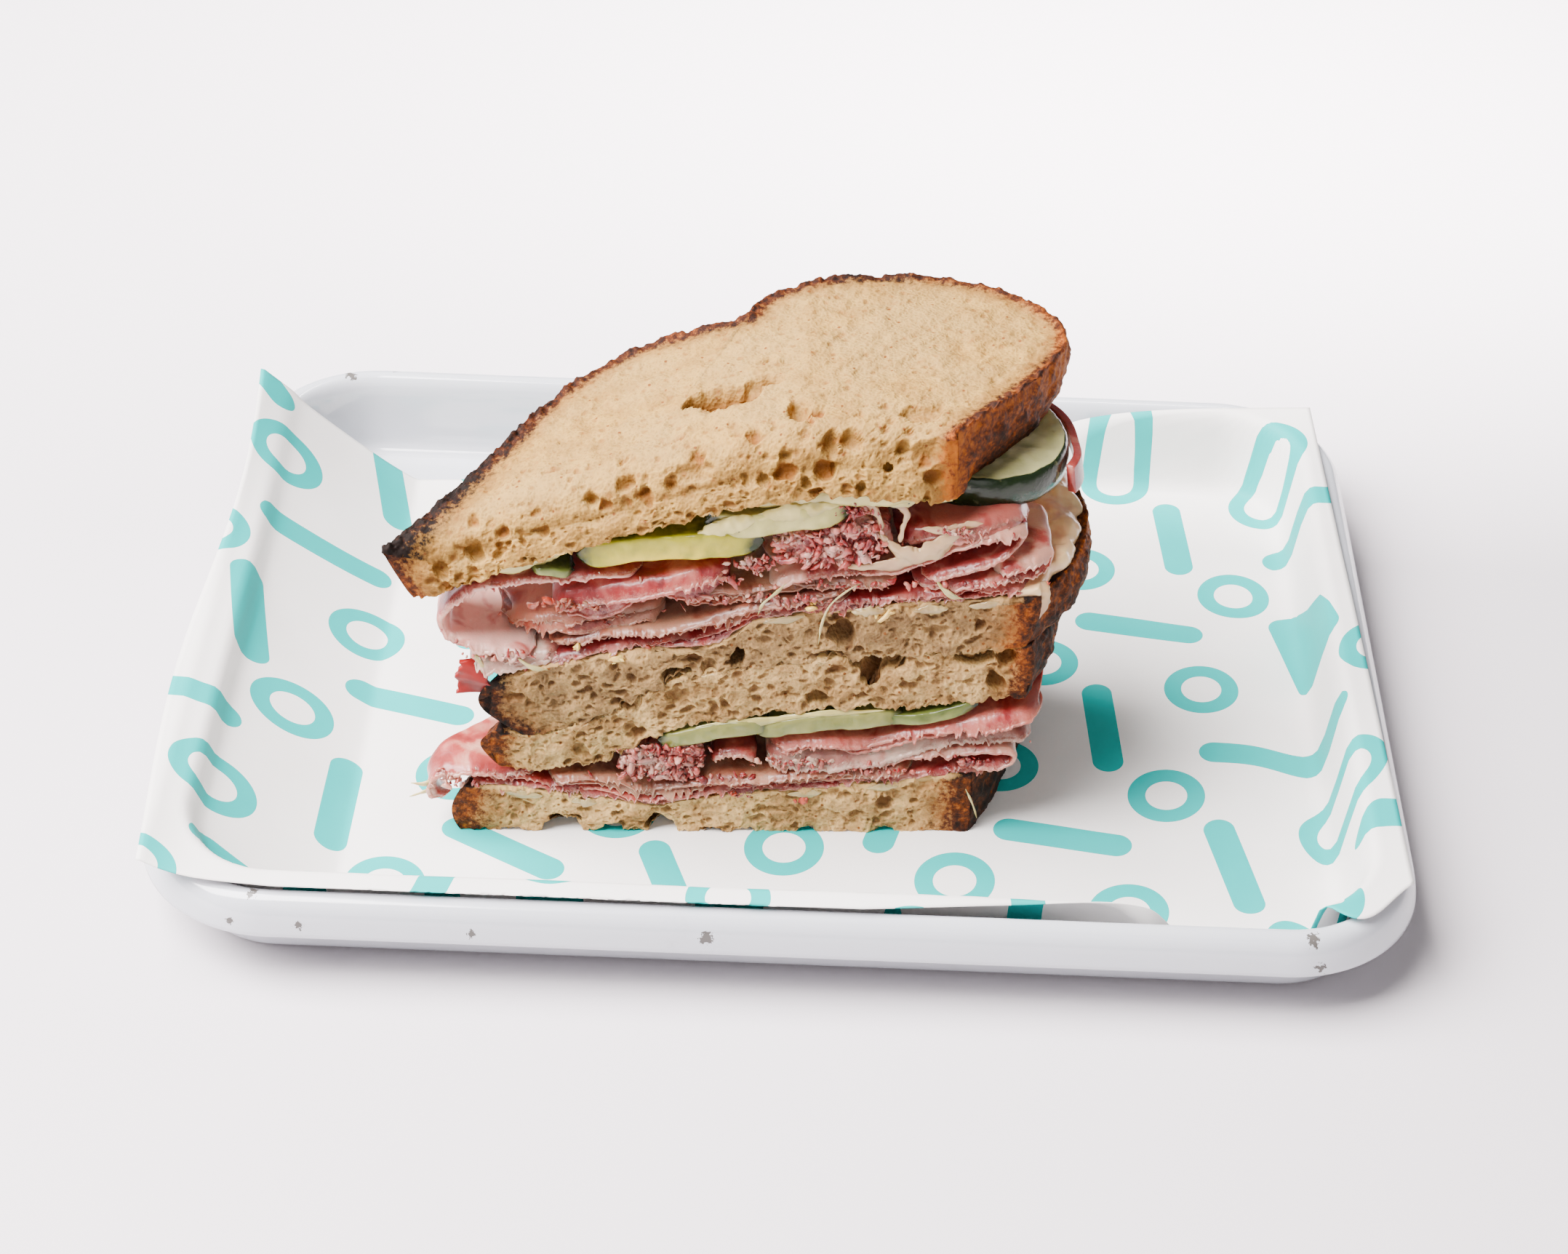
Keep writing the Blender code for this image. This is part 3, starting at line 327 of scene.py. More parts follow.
# The gherkin slice that leans out whole, and the ham that stands in an arc round it: the arc's angles in
# degrees, its inner radius, its lower and upper edge, and its thickness
WHOLE_GHERKIN = dict(centre=(6.55, 3.25, 10.28), radii=(2.30, 2.45), thickness=0.95)
CURL = dict(angles=(-28, 42), radius=2.52, heights=(9.75, 10.42), thickness=0.20)
# The strip of pepper: its left and right edge at its foot and its top, the heights of the two, how far back
# its front lies, and its thickness
PEPPER = dict(left=(-6.42, -6.30), right=(-5.55, -5.60), heights=(4.75, 5.78), front=0.05, thickness=0.14)
# Thick smears under the bread: how far back they reach by x, the share of it that they fill, their ends, the
# level that they hang from, and their thickness by x
SPREADS = {
    "aioli_upper": dict(reach=REACH["upper"], share=0.80, ends=(-5.6, -3.9), under="upper_filling_roof",
                        thickness=[(-5.6, 0.16), (-4.8, 0.34), (-3.9, 0.12)]),
    "aioli_upper_right": dict(reach=[(3.2, 2.2), (4.2, 0.9), (5.7, 0.6)], share=1.0, ends=(3.25, 5.7),
                              under="upper_filling_roof", thickness=[(3.2, 0.50), (4.3, 0.40), (5.6, 0.12)]),
}
# The spread behind the ham's right end: its outer edge as (y, x), where its inner edge would meet the ham,
# and its thickness by x
SHOWN_SPREAD = dict(outer=[(0.1, 8.0), (1.6, 9.0), (3.5, 9.42), (5.2, 9.15), (6.4, 8.5)], inner=7.95,
                    thickness=[(7.9, 0.16), (8.8, 0.28), (9.5, 0.10)])


# Points, curves and noise

# Large odd numbers that scatter whole-number coordinates and a seed
SCATTER = (374761393, 668265263, 1440662683)
SCATTER_SEED = 1013904223
SCATTER_AGAIN = 1274126177
# How strong an octave of noise is beside the one before, and how far its lattice is shifted
OCTAVE_FADE = 0.55
OCTAVE_SHIFT = 17.3
# Steps of a smooth curve from one given point to the next
CURVE_STEPS = 12


def lattice(cell, seed):
    """A steady random number from 0 to 1 for each whole-number point, from its mixed coordinates."""
    mixed = sum(cell[..., k] * SCATTER[k] for k in range(3)) + seed * SCATTER_SEED
    mixed = mixed & 0xFFFFFFFF
    mixed = ((mixed ^ (mixed >> 13)) * SCATTER_AGAIN) & 0xFFFFFFFF
    return ((mixed ^ (mixed >> 16)) & 0xFFFFFF) / 0xFFFFFF


def lumps(points, size, seed, octaves=1):
    """Smooth noise from -1 to 1: random numbers on a lattice `size` apart, eased between by a quintic, in
    octaves that are each half the size and 0.55 of the strength of the one before."""
    q = np.asarray(points, float) / size
    total = np.zeros(q.shape[:-1])
    for octave in range(octaves):
        cell = np.floor(q).astype(np.int64)
        near = q - cell
        near = near ** 3 * (near * (near * 6 - 15) + 10)
        for corner in itertools.product((0, 1), repeat=3):
            share = np.prod(np.where(corner, near, 1 - near), axis=-1)
            value = 2 * lattice(cell + np.array(corner), seed + octave) - 1
            total += share * value * OCTAVE_FADE ** octave
        q = q * 2 + OCTAVE_SHIFT
    return total


def pores(points, spacing, radii, share, seed):
    """Depth of scattered round pores: a share of the cells of a lattice holds a ball with a jittered centre
    and a random radius, small ones commoner, and a point inside a ball lies half its chord deep."""
    q = np.asarray(points, float) / spacing
    base = np.floor(q).astype(np.int64)
    deepest = np.zeros(q.shape[:-1])
    for step in itertools.product((-1, 0, 1), repeat=3):
        cell = base + np.array(step)
        draw = lattice(cell, seed + 3)
        radius = radii[0] + (radii[1] - radii[0]) * np.minimum(draw / share, 1) ** 2
        jitter = np.stack([lattice(cell, seed + k) for k in range(3)], axis=-1)
        gap = np.linalg.norm((q - cell - jitter) * spacing, axis=-1)
        chord = np.sqrt(np.maximum(radius ** 2 - gap ** 2, 0))
        deepest = np.maximum(deepest, np.where(draw < share, chord, 0))
    return deepest


def smooth_path(points, count):
    """Points at even steps of length along a Catmull-Rom curve through the given points."""
    p = np.array(points, float)
    p = np.vstack([2 * p[0] - p[1], p, 2 * p[-1] - p[-2]])
    t = np.linspace(0, 1, CURVE_STEPS, endpoint=False)[:, None]
    runs = []
    for a, b, c, d in zip(p, p[1:], p[2:], p[3:]):
        runs.append(0.5 * (2 * b + (c - a) * t + (2 * a - 5 * b + 4 * c - d) * t ** 2
                           + (3 * b - a - 3 * c + d) * t ** 3))
    curve = np.vstack(runs + [p[-2:-1]])
    length = np.concatenate([[0], np.cumsum(np.linalg.norm(np.diff(curve, axis=0), axis=1))])
    stations = np.linspace(0, length[-1], count)
    return np.column_stack([np.interp(stations, length, curve[:, k]) for k in range(p.shape[1])])


LEVEL_CURVES = {name: smooth_path(points, 90) for name, points in LEVELS.items()}


def headings(line):
    """Unit directions along a line of points."""
    heading = np.gradient(line, axis=0)
    return heading / np.linalg.norm(heading, axis=1)[:, None]


def angles_round(count):
    """Evenly spaced angles round a circle, as one row."""
    return np.linspace(0, 2 * math.pi, count, endpoint=False)[None]


def table(value, pairs):
    """Straight-line reading of a table of (value, result) pairs."""
    return np.interp(value, *zip(*pairs))


def level(name, x, y=0.0):
    """Height of one of the bread's faces at x, with the top slice tilted down towards the back."""
    curve = LEVEL_CURVES[name]
    tilt = ROOF_TILT if name in ("upper_filling_roof", "crown") else 0.0
    return np.interp(x, curve[:, 0], curve[:, 1]) + tilt * y


def squeeze(half, x, y, z):
    """Height of a filling point at depth y, which follows the tilt of the slice above it."""
    floor = level(half + "_filling_floor", x)
    roof = level(half + "_filling_roof", x)
    share = (z - floor) / np.maximum(roof - floor, 0.5)
    return z + share * (level(half + "_filling_roof", x, y) - roof)


def placed(points):
    """Points of the food's frame in centimetres, turned and moved to the whole's frame in metres."""
    turn = math.radians(FOOD_TURN)
    x, y, z = (points[..., k] * CM for k in range(3))
    return np.stack([FOOD_PLACE[0] + x * math.cos(turn) - y * math.sin(turn),
                     FOOD_PLACE[1] + x * math.sin(turn) + y * math.cos(turn), z], axis=-1)


def grid_normals(points):
    """Unit normals of a grid of loops, from the cross product of its steps along rows and round loops."""
    along = np.gradient(points, axis=0)
    around = np.roll(points, -1, axis=1) - np.roll(points, 1, axis=1)
    normal = np.cross(along, around)
    size = np.linalg.norm(normal, axis=-1, keepdims=True)
    return normal / np.maximum(size, 1e-9)


# Meshes and pieces

def loops_mesh(points):
    """Corners and faces of a closed skin: a grid of loops, joined round, each end a fan about its middle."""
    rows, cols = points.shape[:2]
    index = np.arange(rows * cols).reshape(rows, cols)
    after = np.roll(index, -1, axis=1)
    quads = np.stack([index[:-1], after[:-1], after[1:], index[1:]], axis=-1).reshape(-1, 4)
    first, last = rows * cols, rows * cols + 1
    tris = np.concatenate([
        np.column_stack([after[0], index[0], np.full(cols, first)]),
        np.column_stack([index[-1], after[-1], np.full(cols, last)])])
    corners = np.concatenate([points.reshape(-1, 3), [points[0].mean(axis=0), points[-1].mean(axis=0)]])
    return corners, quads, tris


def volume_of(corners, quads, tris):
    """Signed volume of a closed skin, from the tetrahedra of its triangles and the origin."""
    triangles = np.concatenate([quads[:, :3], quads[:, [0, 2, 3]], tris])
    a, b, c = (corners[triangles[:, k]] for k in range(3))
    return np.einsum("ij,ij->i", a, np.cross(b, c)).sum() / 6


def stand(name, data):
    """Put a mesh, a light or a camera into the scene as an object."""
    made = bpy.data.objects.new(name, data)
    bpy.context.scene.collection.objects.link(made)
    return made


def piece(name, corners, quads, tris, finish, slot, node=None, masks=None):
    """Make one object of the whole from arrays, faces outwards, riding on the root body."""
    if volume_of(corners, quads, tris) < 0:
        quads, tris = quads[:, ::-1], tris[:, ::-1]
    mesh = bpy.data.meshes.new(name)
    mesh.vertices.add(len(corners))
    mesh.vertices.foreach_set("co", corners.astype(np.float32).ravel())
    around = np.concatenate([quads.ravel(), tris.ravel()]).astype(np.int32)
    sizes = np.concatenate([np.full(len(quads), 4), np.full(len(tris), 3)])
    mesh.loops.add(len(around))
    mesh.loops.foreach_set("vertex_index", around)
    mesh.polygons.add(len(sizes))
    mesh.polygons.foreach_set("loop_start", np.concatenate([[0], np.cumsum(sizes)[:-1]]).astype(np.int32))
    mesh.update(calc_edges=True)
    mesh.shade_smooth()
    for mask, values in (masks or {}).items():
        layer = mesh.attributes.new(mask, "FLOAT", "POINT")
        layer.data.foreach_set("value", values.astype(np.float32).ravel())
    mesh.materials.append(finish)
    made = stand(name, mesh)
    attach(made, "root")
    if node:
        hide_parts(node)
    return made


def food_piece(name, skins, finish, slot, node=None):
    """Join closed skins, each a grid of loops in the food's frame with its masks, into one piece."""
    corners, quads, tris, masks, offset = [], [], [], {}, 0
    for points, values in skins:
        c, q, t = loops_mesh(placed(points))
        if volume_of(c, q, t) < 0:
            q, t = q[:, ::-1], t[:, ::-1]
        corners.append(c)
        quads.append(q + offset)
        tris.append(t + offset)
        offset += len(c)
        for mask, grid in values.items():
            ends = [grid[0].mean(), grid[-1].mean()]
            masks.setdefault(mask, []).append(np.concatenate([grid.ravel(), ends]))
    arrays = (np.concatenate(parts) for parts in (corners, quads, tris))
    joined = {mask: np.concatenate(parts) for mask, parts in masks.items()}
    return piece(name, *arrays, finish, slot, node, joined)


# Materials

def linear(code):
    """Linear RGBA of an sRGB hex colour."""
    value = np.array([int(code[k:k + 2], 16) / 255 for k in (1, 3, 5)])
    value = np.where(value <= 0.04045, value / 12.92, ((value + 0.055) / 1.055) ** 2.4)
    return (*value, 1.0)


def wire(tree, kind, sockets=None, out=None, stops=None, **settings):
    """Add one shader node with its settings, fill or link its sockets, and return one of its outputs."""
    made = tree.nodes.new("ShaderNode" + kind)
    for key, value in settings.items():
        setattr(made, key, value)
    for key, value in (sockets or {}).items():
        if isinstance(value, bpy.types.NodeSocket):
            tree.links.new(value, made.inputs[key])
        else:
            made.inputs[key].default_value = linear(value) if isinstance(value, str) else value
    for spot, (position, colour) in enumerate(stops or []):
        element = made.color_ramp.elements[spot] if spot < 2 else made.color_ramp.elements.new(position)
        element.position = position
        element.color = linear(colour) if isinstance(colour, str) else (colour, colour, colour, 1)
    return made.outputs[out] if out else next(o for o in made.outputs if o.enabled)


def start_finish(name, **values):
    """A new Principled material: its node tree, its shader, and the Object coordinates in metres."""
    made = bpy.data.materials.new(name)
    made.use_nodes = True
    tree = made.node_tree
    shader = tree.nodes["Principled BSDF"]
    for key, value in values.items():
        socket = shader.inputs[key.replace("_", " ")]
        socket.default_value = linear(value) if isinstance(value, str) else value
    return made, tree, shader, wire(tree, "TexCoord", out="Object")


def link(tree, shader, **outputs):
    """Link each output to the shader's socket of that name."""
    for key, output in outputs.items():
        tree.links.new(output, shader.inputs[key.replace("_", " ")])


def bread_finish(name, light, dark, inside, roof):
    """Sourdough, baked and sliced: matte tan crumb frothed with little bubbles, each darkened at its middle
    as painted shade, and flecked with bran, with painted shade brown inside its pores, painted top light that
    makes it evener and paler where a sliced face lies up, and creamy where butter shows; and a grainy crust
    that runs from golden at its inner edge to nearly black where it is baked hardest."""
    made, tree, shader, spot = start_finish(
        name, Roughness=0.66, Specular_IOR_Level=0.10, Subsurface_Weight=0.20, Subsurface_Scale=0.003,
        Subsurface_Radius=(1.0, 0.6, 0.3))
    pore, rind, bake, smeared = (wire(tree, "Attribute", out="Fac", attribute_name=mask)
                                 for mask in ("pore", "rind", "bake", "butter"))
    bend = wire(tree, "TexNoise", {"Vector": spot, "Scale": 1 / (3 * MM), "Detail": 2.0}, out="Color")
    bent = wire(tree, "VectorMath", {0: bend, 1: (1.6 * MM,) * 3, 2: spot}, operation="MULTIPLY_ADD")
    bubble, chance = (wire(tree, "TexVoronoi", {"Vector": bent, "Scale": 1 / (2.7 * MM)}, out=out)
                      for out in ("Distance", "Color"))
    froth = wire(tree, "TexVoronoi", {"Vector": bent, "Scale": 1 / (0.95 * MM)}, out="Distance")
    clouds = wire(tree, "TexNoise", {"Vector": spot, "Scale": 1 / (7 * MM), "Detail": 6.0, "Roughness": 0.62})
    crumb = wire(tree, "ValToRGB", {"Fac": clouds}, stops=[(0.40, dark), (0.60, light)])
    # Painted top light: where the face looks up, the crumb is mixed in soft patches towards the paler, evener
    # roof colour
    up = wire(tree, "SeparateXYZ", {0: wire(tree, "TexCoord", out="Normal")}, out="Z")
    drift = wire(tree, "TexNoise", {"Vector": spot, "Scale": 1 / (22 * MM), "Detail": 3.0})
    painted_top_light_patches = wire(tree, "MapRange", {
        "Value": drift, "From Min": 0.40, "From Max": 0.60, "To Min": 0.20, "To Max": 0.80})
    sliced = wire(tree, "MapRange", {"Value": up, "From Min": 0.35, "From Max": 0.95})
    sliced = wire(tree, "Math", {0: sliced, 1: painted_top_light_patches}, operation="MULTIPLY")
    crumb = wire(tree, "Mix", {0: sliced, 6: crumb, 7: roof}, data_type="RGBA")
    # Painted shade in the small bubbles: the crumb is darkened towards the middle of each froth cell
    grain = wire(tree, "ValToRGB", {"Fac": froth}, stops=[(0.05, 0.62), (0.45, 1.0)])
    crumb = wire(tree, "Mix", {0: 0.8, 6: crumb, 7: grain}, data_type="RGBA", blend_type="MULTIPLY")
    # Painted shade in the pores: bubble holes and the pore mask mix the crumb towards the darker inside
    # colour
    open_ones = wire(tree, "ValToRGB", {"Fac": chance}, stops=[(0.50, 0.0), (0.62, 1.0)])
    near = wire(tree, "ValToRGB", {"Fac": bubble}, stops=[(0.14, 1.0), (0.40, 0.0)])
    hole = wire(tree, "Math", {0: open_ones, 1: near}, operation="MULTIPLY")
    deep = wire(tree, "ValToRGB", {"Fac": pore}, stops=[(0.05, 0.0), (0.70, 1.0)])
    pore_shade_share = wire(tree, "Math", {0: hole, 1: 0.55, 2: deep}, operation="MULTIPLY_ADD", use_clamp=True)
    crumb = wire(tree, "Mix", {0: pore_shade_share, 6: crumb, 7: inside}, data_type="RGBA")
    bran = wire(tree, "TexVoronoi", {"Vector": spot, "Scale": 1 / (4 * MM)})
    fleck = wire(tree, "ValToRGB", {"Fac": bran}, stops=[(0.08, 1.0), (0.12, 0.0)])
    crumb = wire(tree, "Mix", {0: fleck, 6: crumb, 7: "#6b3f1c"}, data_type="RGBA")
    covered = wire(tree, "ValToRGB", {"Fac": smeared}, stops=[(0.20, 0.0), (0.50, 0.85)])
    crumb = wire(tree, "Mix", {0: covered, 6: crumb, 7: "#be9862"}, data_type="RGBA")
    rough = wire(tree, "TexNoise", {
        "Vector": spot, "Scale": 1 / (1.6 * MM), "Detail": 6.0, "Roughness": 0.75})
    uneven = wire(tree, "MapRange", {
        "Value": rough, "From Min": 0.30, "From Max": 0.70, "To Min": 0.42, "To Max": -0.42})
    baked = wire(tree, "Math", {0: bake, 1: uneven}, operation="ADD")
    crust = wire(tree, "ValToRGB", {"Fac": baked}, stops=[
        (0.0, "#945010"), (0.95, "#120a07"), (0.25, "#74380f"), (0.45, "#4c240c"), (0.64, "#33170a"),
        (0.80, "#200f08")])
    edge = wire(tree, "MapRange", {
        "Value": rough, "From Min": 0.25, "From Max": 0.75, "To Min": -0.15, "To Max": 0.15})
    depth = wire(tree, "Math", {0: rind, 1: edge}, operation="ADD")
    is_crumb = wire(tree, "ValToRGB", {"Fac": depth}, stops=[(0.14, 0.0), (0.52, 1.0), (0.28, 0.55)])
    warm = wire(tree, "Mix", {0: is_crumb, 6: crust, 7: "#6b4416"}, data_type="RGBA")
    colour = wire(tree, "Mix", {0: is_crumb, 6: warm, 7: crumb}, data_type="RGBA")
    pits = wire(tree, "Math", {0: hole, 1: -0.8, 2: froth}, operation="MULTIPLY_ADD")
    blend = wire(tree, "Mix", {0: is_crumb, 2: rough, 3: pits})
    bump = wire(tree, "Bump", {"Height": blend, "Strength": 0.50, "Distance": 0.6 * MM})
    link(tree, shader, Base_Color=colour, Normal=bump)
    return made


def ham_finish(name, meat, deep, edge, fat):
    """Cooked ham, thinly sliced: moist satin meat that drifts from deep pink to pale fat, and a paler fibrous
    edge where the knife went through."""
    made, tree, shader, spot = start_finish(
        name, Roughness=0.32, Specular_IOR_Level=0.4, Coat_Weight=0.3, Coat_Roughness=0.14,
        Subsurface_Weight=0.5, Subsurface_Scale=0.004, Subsurface_Radius=(1.0, 0.35, 0.28))
    clouds = wire(tree, "TexNoise", {"Vector": spot, "Scale": 1 / (9 * MM), "Detail": 3.0, "Distortion": 0.8})
    # The tone mask carries random drift, painted light and shade on the faces of the ham leaves, and painted
    # shade in the holes of the heaps
    tone = wire(tree, "Attribute", out="Fac", attribute_name="tone")
    tone = wire(tree, "MapRange", {"Value": tone, "To Min": -0.22, "To Max": 0.22})
    drift = wire(tree, "Math", {0: clouds, 1: tone}, operation="ADD")
    colour = wire(tree, "ValToRGB", {"Fac": drift}, stops=[(0.36, deep), (0.66, fat), (0.50, meat)])
    strand = wire(tree, "TexNoise", {"Vector": spot, "Scale": 1 / (1.1 * MM), "Detail": 4.0, "Roughness": 0.7,
                                     "Distortion": 1.2})
    grain = wire(tree, "ValToRGB", {"Fac": strand}, stops=[(0.30, 0.70), (0.55, 1.0)])
    cut = wire(tree, "Attribute", out="Fac", attribute_name="cut")
    fibrous = wire(tree, "Math", {0: cut, 1: 0.5, 2: 0.15}, operation="MULTIPLY_ADD", use_clamp=True)
    colour = wire(tree, "Mix", {0: fibrous, 6: colour, 7: grain}, data_type="RGBA", blend_type="MULTIPLY")
    torn = wire(tree, "MapRange", {
        "Value": strand, "From Min": 0.35, "From Max": 0.65, "To Min": -0.95, "To Max": -0.05})
    shown = wire(tree, "Math", {0: cut, 1: torn}, operation="ADD", use_clamp=True)
    colour = wire(tree, "Mix", {0: shown, 6: colour, 7: edge}, data_type="RGBA")
    bump = wire(tree, "Bump", {"Height": strand, "Strength": 0.35, "Distance": 0.4 * MM})
    link(tree, shader, Base_Color=colour, Normal=bump)
    return made


def gherkin_finish(name, flesh, ring, skin):
    """Pickled gherkin, sliced: wet translucent flesh that turns greener at the ring and dark at the skin."""
    made, tree, shader, spot = start_finish(
        name, Roughness=0.20, Specular_IOR_Level=0.35, Subsurface_Weight=0.30, Subsurface_Scale=0.004,
        Subsurface_Radius=(0.9, 1.0, 0.25))
    clouds = wire(tree, "TexNoise", {"Vector": spot, "Scale": 1 / (6 * MM), "Detail": 4.0})
    inner = wire(tree, "ValToRGB", {"Fac": clouds}, stops=[(0.35, ring), (0.62, flesh)])
    rim = wire(tree, "Attribute", out="Fac", attribute_name="skin")
    jitter = wire(tree, "MapRange", {
        "Value": clouds, "From Min": 0.3, "From Max": 0.7, "To Min": -0.08, "To Max": 0.08})
    reach = wire(tree, "Math", {0: rim, 1: jitter}, operation="ADD")
    green = wire(tree, "ValToRGB", {"Fac": reach}, stops=[(0.55, 0.0), (0.85, 1.0)])
    colour = wire(tree, "Mix", {0: green, 6: inner, 7: ring}, data_type="RGBA")
    dark = wire(tree, "ValToRGB", {"Fac": reach}, stops=[(0.84, 0.0), (0.95, 1.0)])
    colour = wire(tree, "Mix", {0: dark, 6: colour, 7: skin}, data_type="RGBA")
    fine = wire(tree, "TexNoise", {"Vector": spot, "Scale": 1 / (1.6 * MM), "Detail": 3.0})
    bump = wire(tree, "Bump", {"Height": fine, "Strength": 0.40, "Distance": 0.3 * MM})
    link(tree, shader, Base_Color=colour, Normal=bump)
    return made


def spread_finish(name, light, dark, speck, share):
    """Aioli or spread, whisked: glossy, opaque and creamy, with a few fine dark specks."""
    made, tree, shader, spot = start_finish(
        name, Roughness=0.24, Coat_Weight=0.3, Coat_Roughness=0.12, Subsurface_Weight=0.3,
        Subsurface_Scale=0.003, Subsurface_Radius=(1.0, 0.8, 0.5))
    clouds = wire(tree, "TexNoise", {"Vector": spot, "Scale": 1 / (8 * MM), "Detail": 4.0})
    colour = wire(tree, "ValToRGB", {"Fac": clouds}, stops=[(0.36, dark), (0.62, light)])
    seeds = wire(tree, "TexVoronoi", {"Vector": spot, "Scale": 1 / (3.5 * MM)})
    spots = wire(tree, "ValToRGB", {"Fac": seeds}, stops=[(share, 1.0), (share + 0.03, 0.0)])
    colour = wire(tree, "Mix", {0: spots, 6: colour, 7: speck}, data_type="RGBA")
    bump = wire(tree, "Bump", {"Height": clouds, "Strength": 0.3, "Distance": 0.6 * MM})
    link(tree, shader, Base_Color=colour, Normal=bump)
    return made


# Chips in the enamel, as x, y, z in metres and the radius of the worn spot in millimetres
CHIPS = [
    (-0.1340, 0.1125, 0.0245, 3.0), (-0.1210, 0.1150, 0.0235, 2.0), (-0.1275, -0.1145, 0.0240, 2.6),
    (-0.1330, -0.1185, 0.0190, 1.6), (-0.1160, -0.1195, 0.0190, 1.8), (0.1300, -0.1155, 0.0238, 3.0),
    (0.1325, -0.1195, 0.0180, 2.6), (-0.0170, -0.1195, 0.0200, 3.0), (-0.0740, -0.1196, 0.0185, 1.8),
    (0.1520, 0.0620, 0.0240, 1.6), (-0.1560, 0.0150, 0.0240, 1.4), (0.0420, 0.1175, 0.0240, 1.8),
]
# The share of a worn spot's radius that is bare, and how far its edge is ragged, in metres
CHIP_BARE = 0.55
CHIP_RAGGED = 2.6 * MM


def enamel_finish():
    """Vitreous enamel fired on pressed steel: bluish white, glassy, faintly uneven, chipped at the rim to
    the dark ground coat, with grey scuffs where trays rub on each other."""
    made, tree, shader, spot = start_finish("white_vitreous_enamel", Roughness=0.14, Coat_Weight=0.5,
                                            Coat_Roughness=0.05)
    ragged = wire(tree, "TexNoise", {
        "Vector": spot, "Scale": 1 / (1.3 * MM), "Detail": 4.0, "Roughness": 0.7})
    shift = wire(tree, "MapRange", {"Value": ragged, "To Min": -CHIP_RAGGED, "To Max": CHIP_RAGGED})
    chipped = 0.0
    for x, y, z, radius in CHIPS:
        away = wire(tree, "VectorMath", {0: spot, 1: (x, y, z)}, out="Value", operation="DISTANCE")
        away = wire(tree, "Math", {0: away, 1: shift}, operation="ADD")
        inside = wire(tree, "Math", {0: away, 1: radius * CHIP_BARE * MM}, operation="LESS_THAN")
        chipped = wire(tree, "Math", {0: chipped, 1: inside}, operation="MAXIMUM")
    scuff = wire(tree, "TexNoise", {"Vector": spot, "Scale": 1 / (14 * MM), "Detail": 8.0, "Roughness": 0.8})
    worn = wire(tree, "ValToRGB", {"Fac": scuff}, stops=[(0.60, 0.0), (0.78, 0.5)])
    colour = wire(tree, "Mix", {0: worn, 6: "#bcbfc6", 7: "#a9abb0"}, data_type="RGBA")
    colour = wire(tree, "Mix", {0: chipped, 6: colour, 7: "#4c4844"}, data_type="RGBA")
    rough = wire(tree, "Mix", {0: chipped, 2: 0.14, 3: 0.7})
    ripple = wire(tree, "TexNoise", {"Vector": spot, "Scale": 1 / (22 * MM), "Detail": 2.0})
    bump = wire(tree, "Bump", {"Height": ripple, "Strength": 0.15, "Distance": 0.5 * MM})
    link(tree, shader, Base_Color=colour, Roughness=rough, Normal=bump)
    return made


# The paper's print, in metres and degrees: the width of the tiles that it is laid out on, the strokes and the
# rings, the turn of the whole on the sheet, and how far neighbouring strokes are turned from each other
TILE = 0.046
STROKE_HALF_WIDTH = 0.0042
STROKE_HALF_LENGTH = 0.0185
RING_RADIUS = 0.0080
RING_HALF_WIDTH = 0.0024
PRINT_TURN = 17
STROKE_TURN = 74
# The strokes also sway from row to row by a sine of this many radians, which steps by so many radians a row
SWAY = 0.35
SWAY_STEP = 2.399


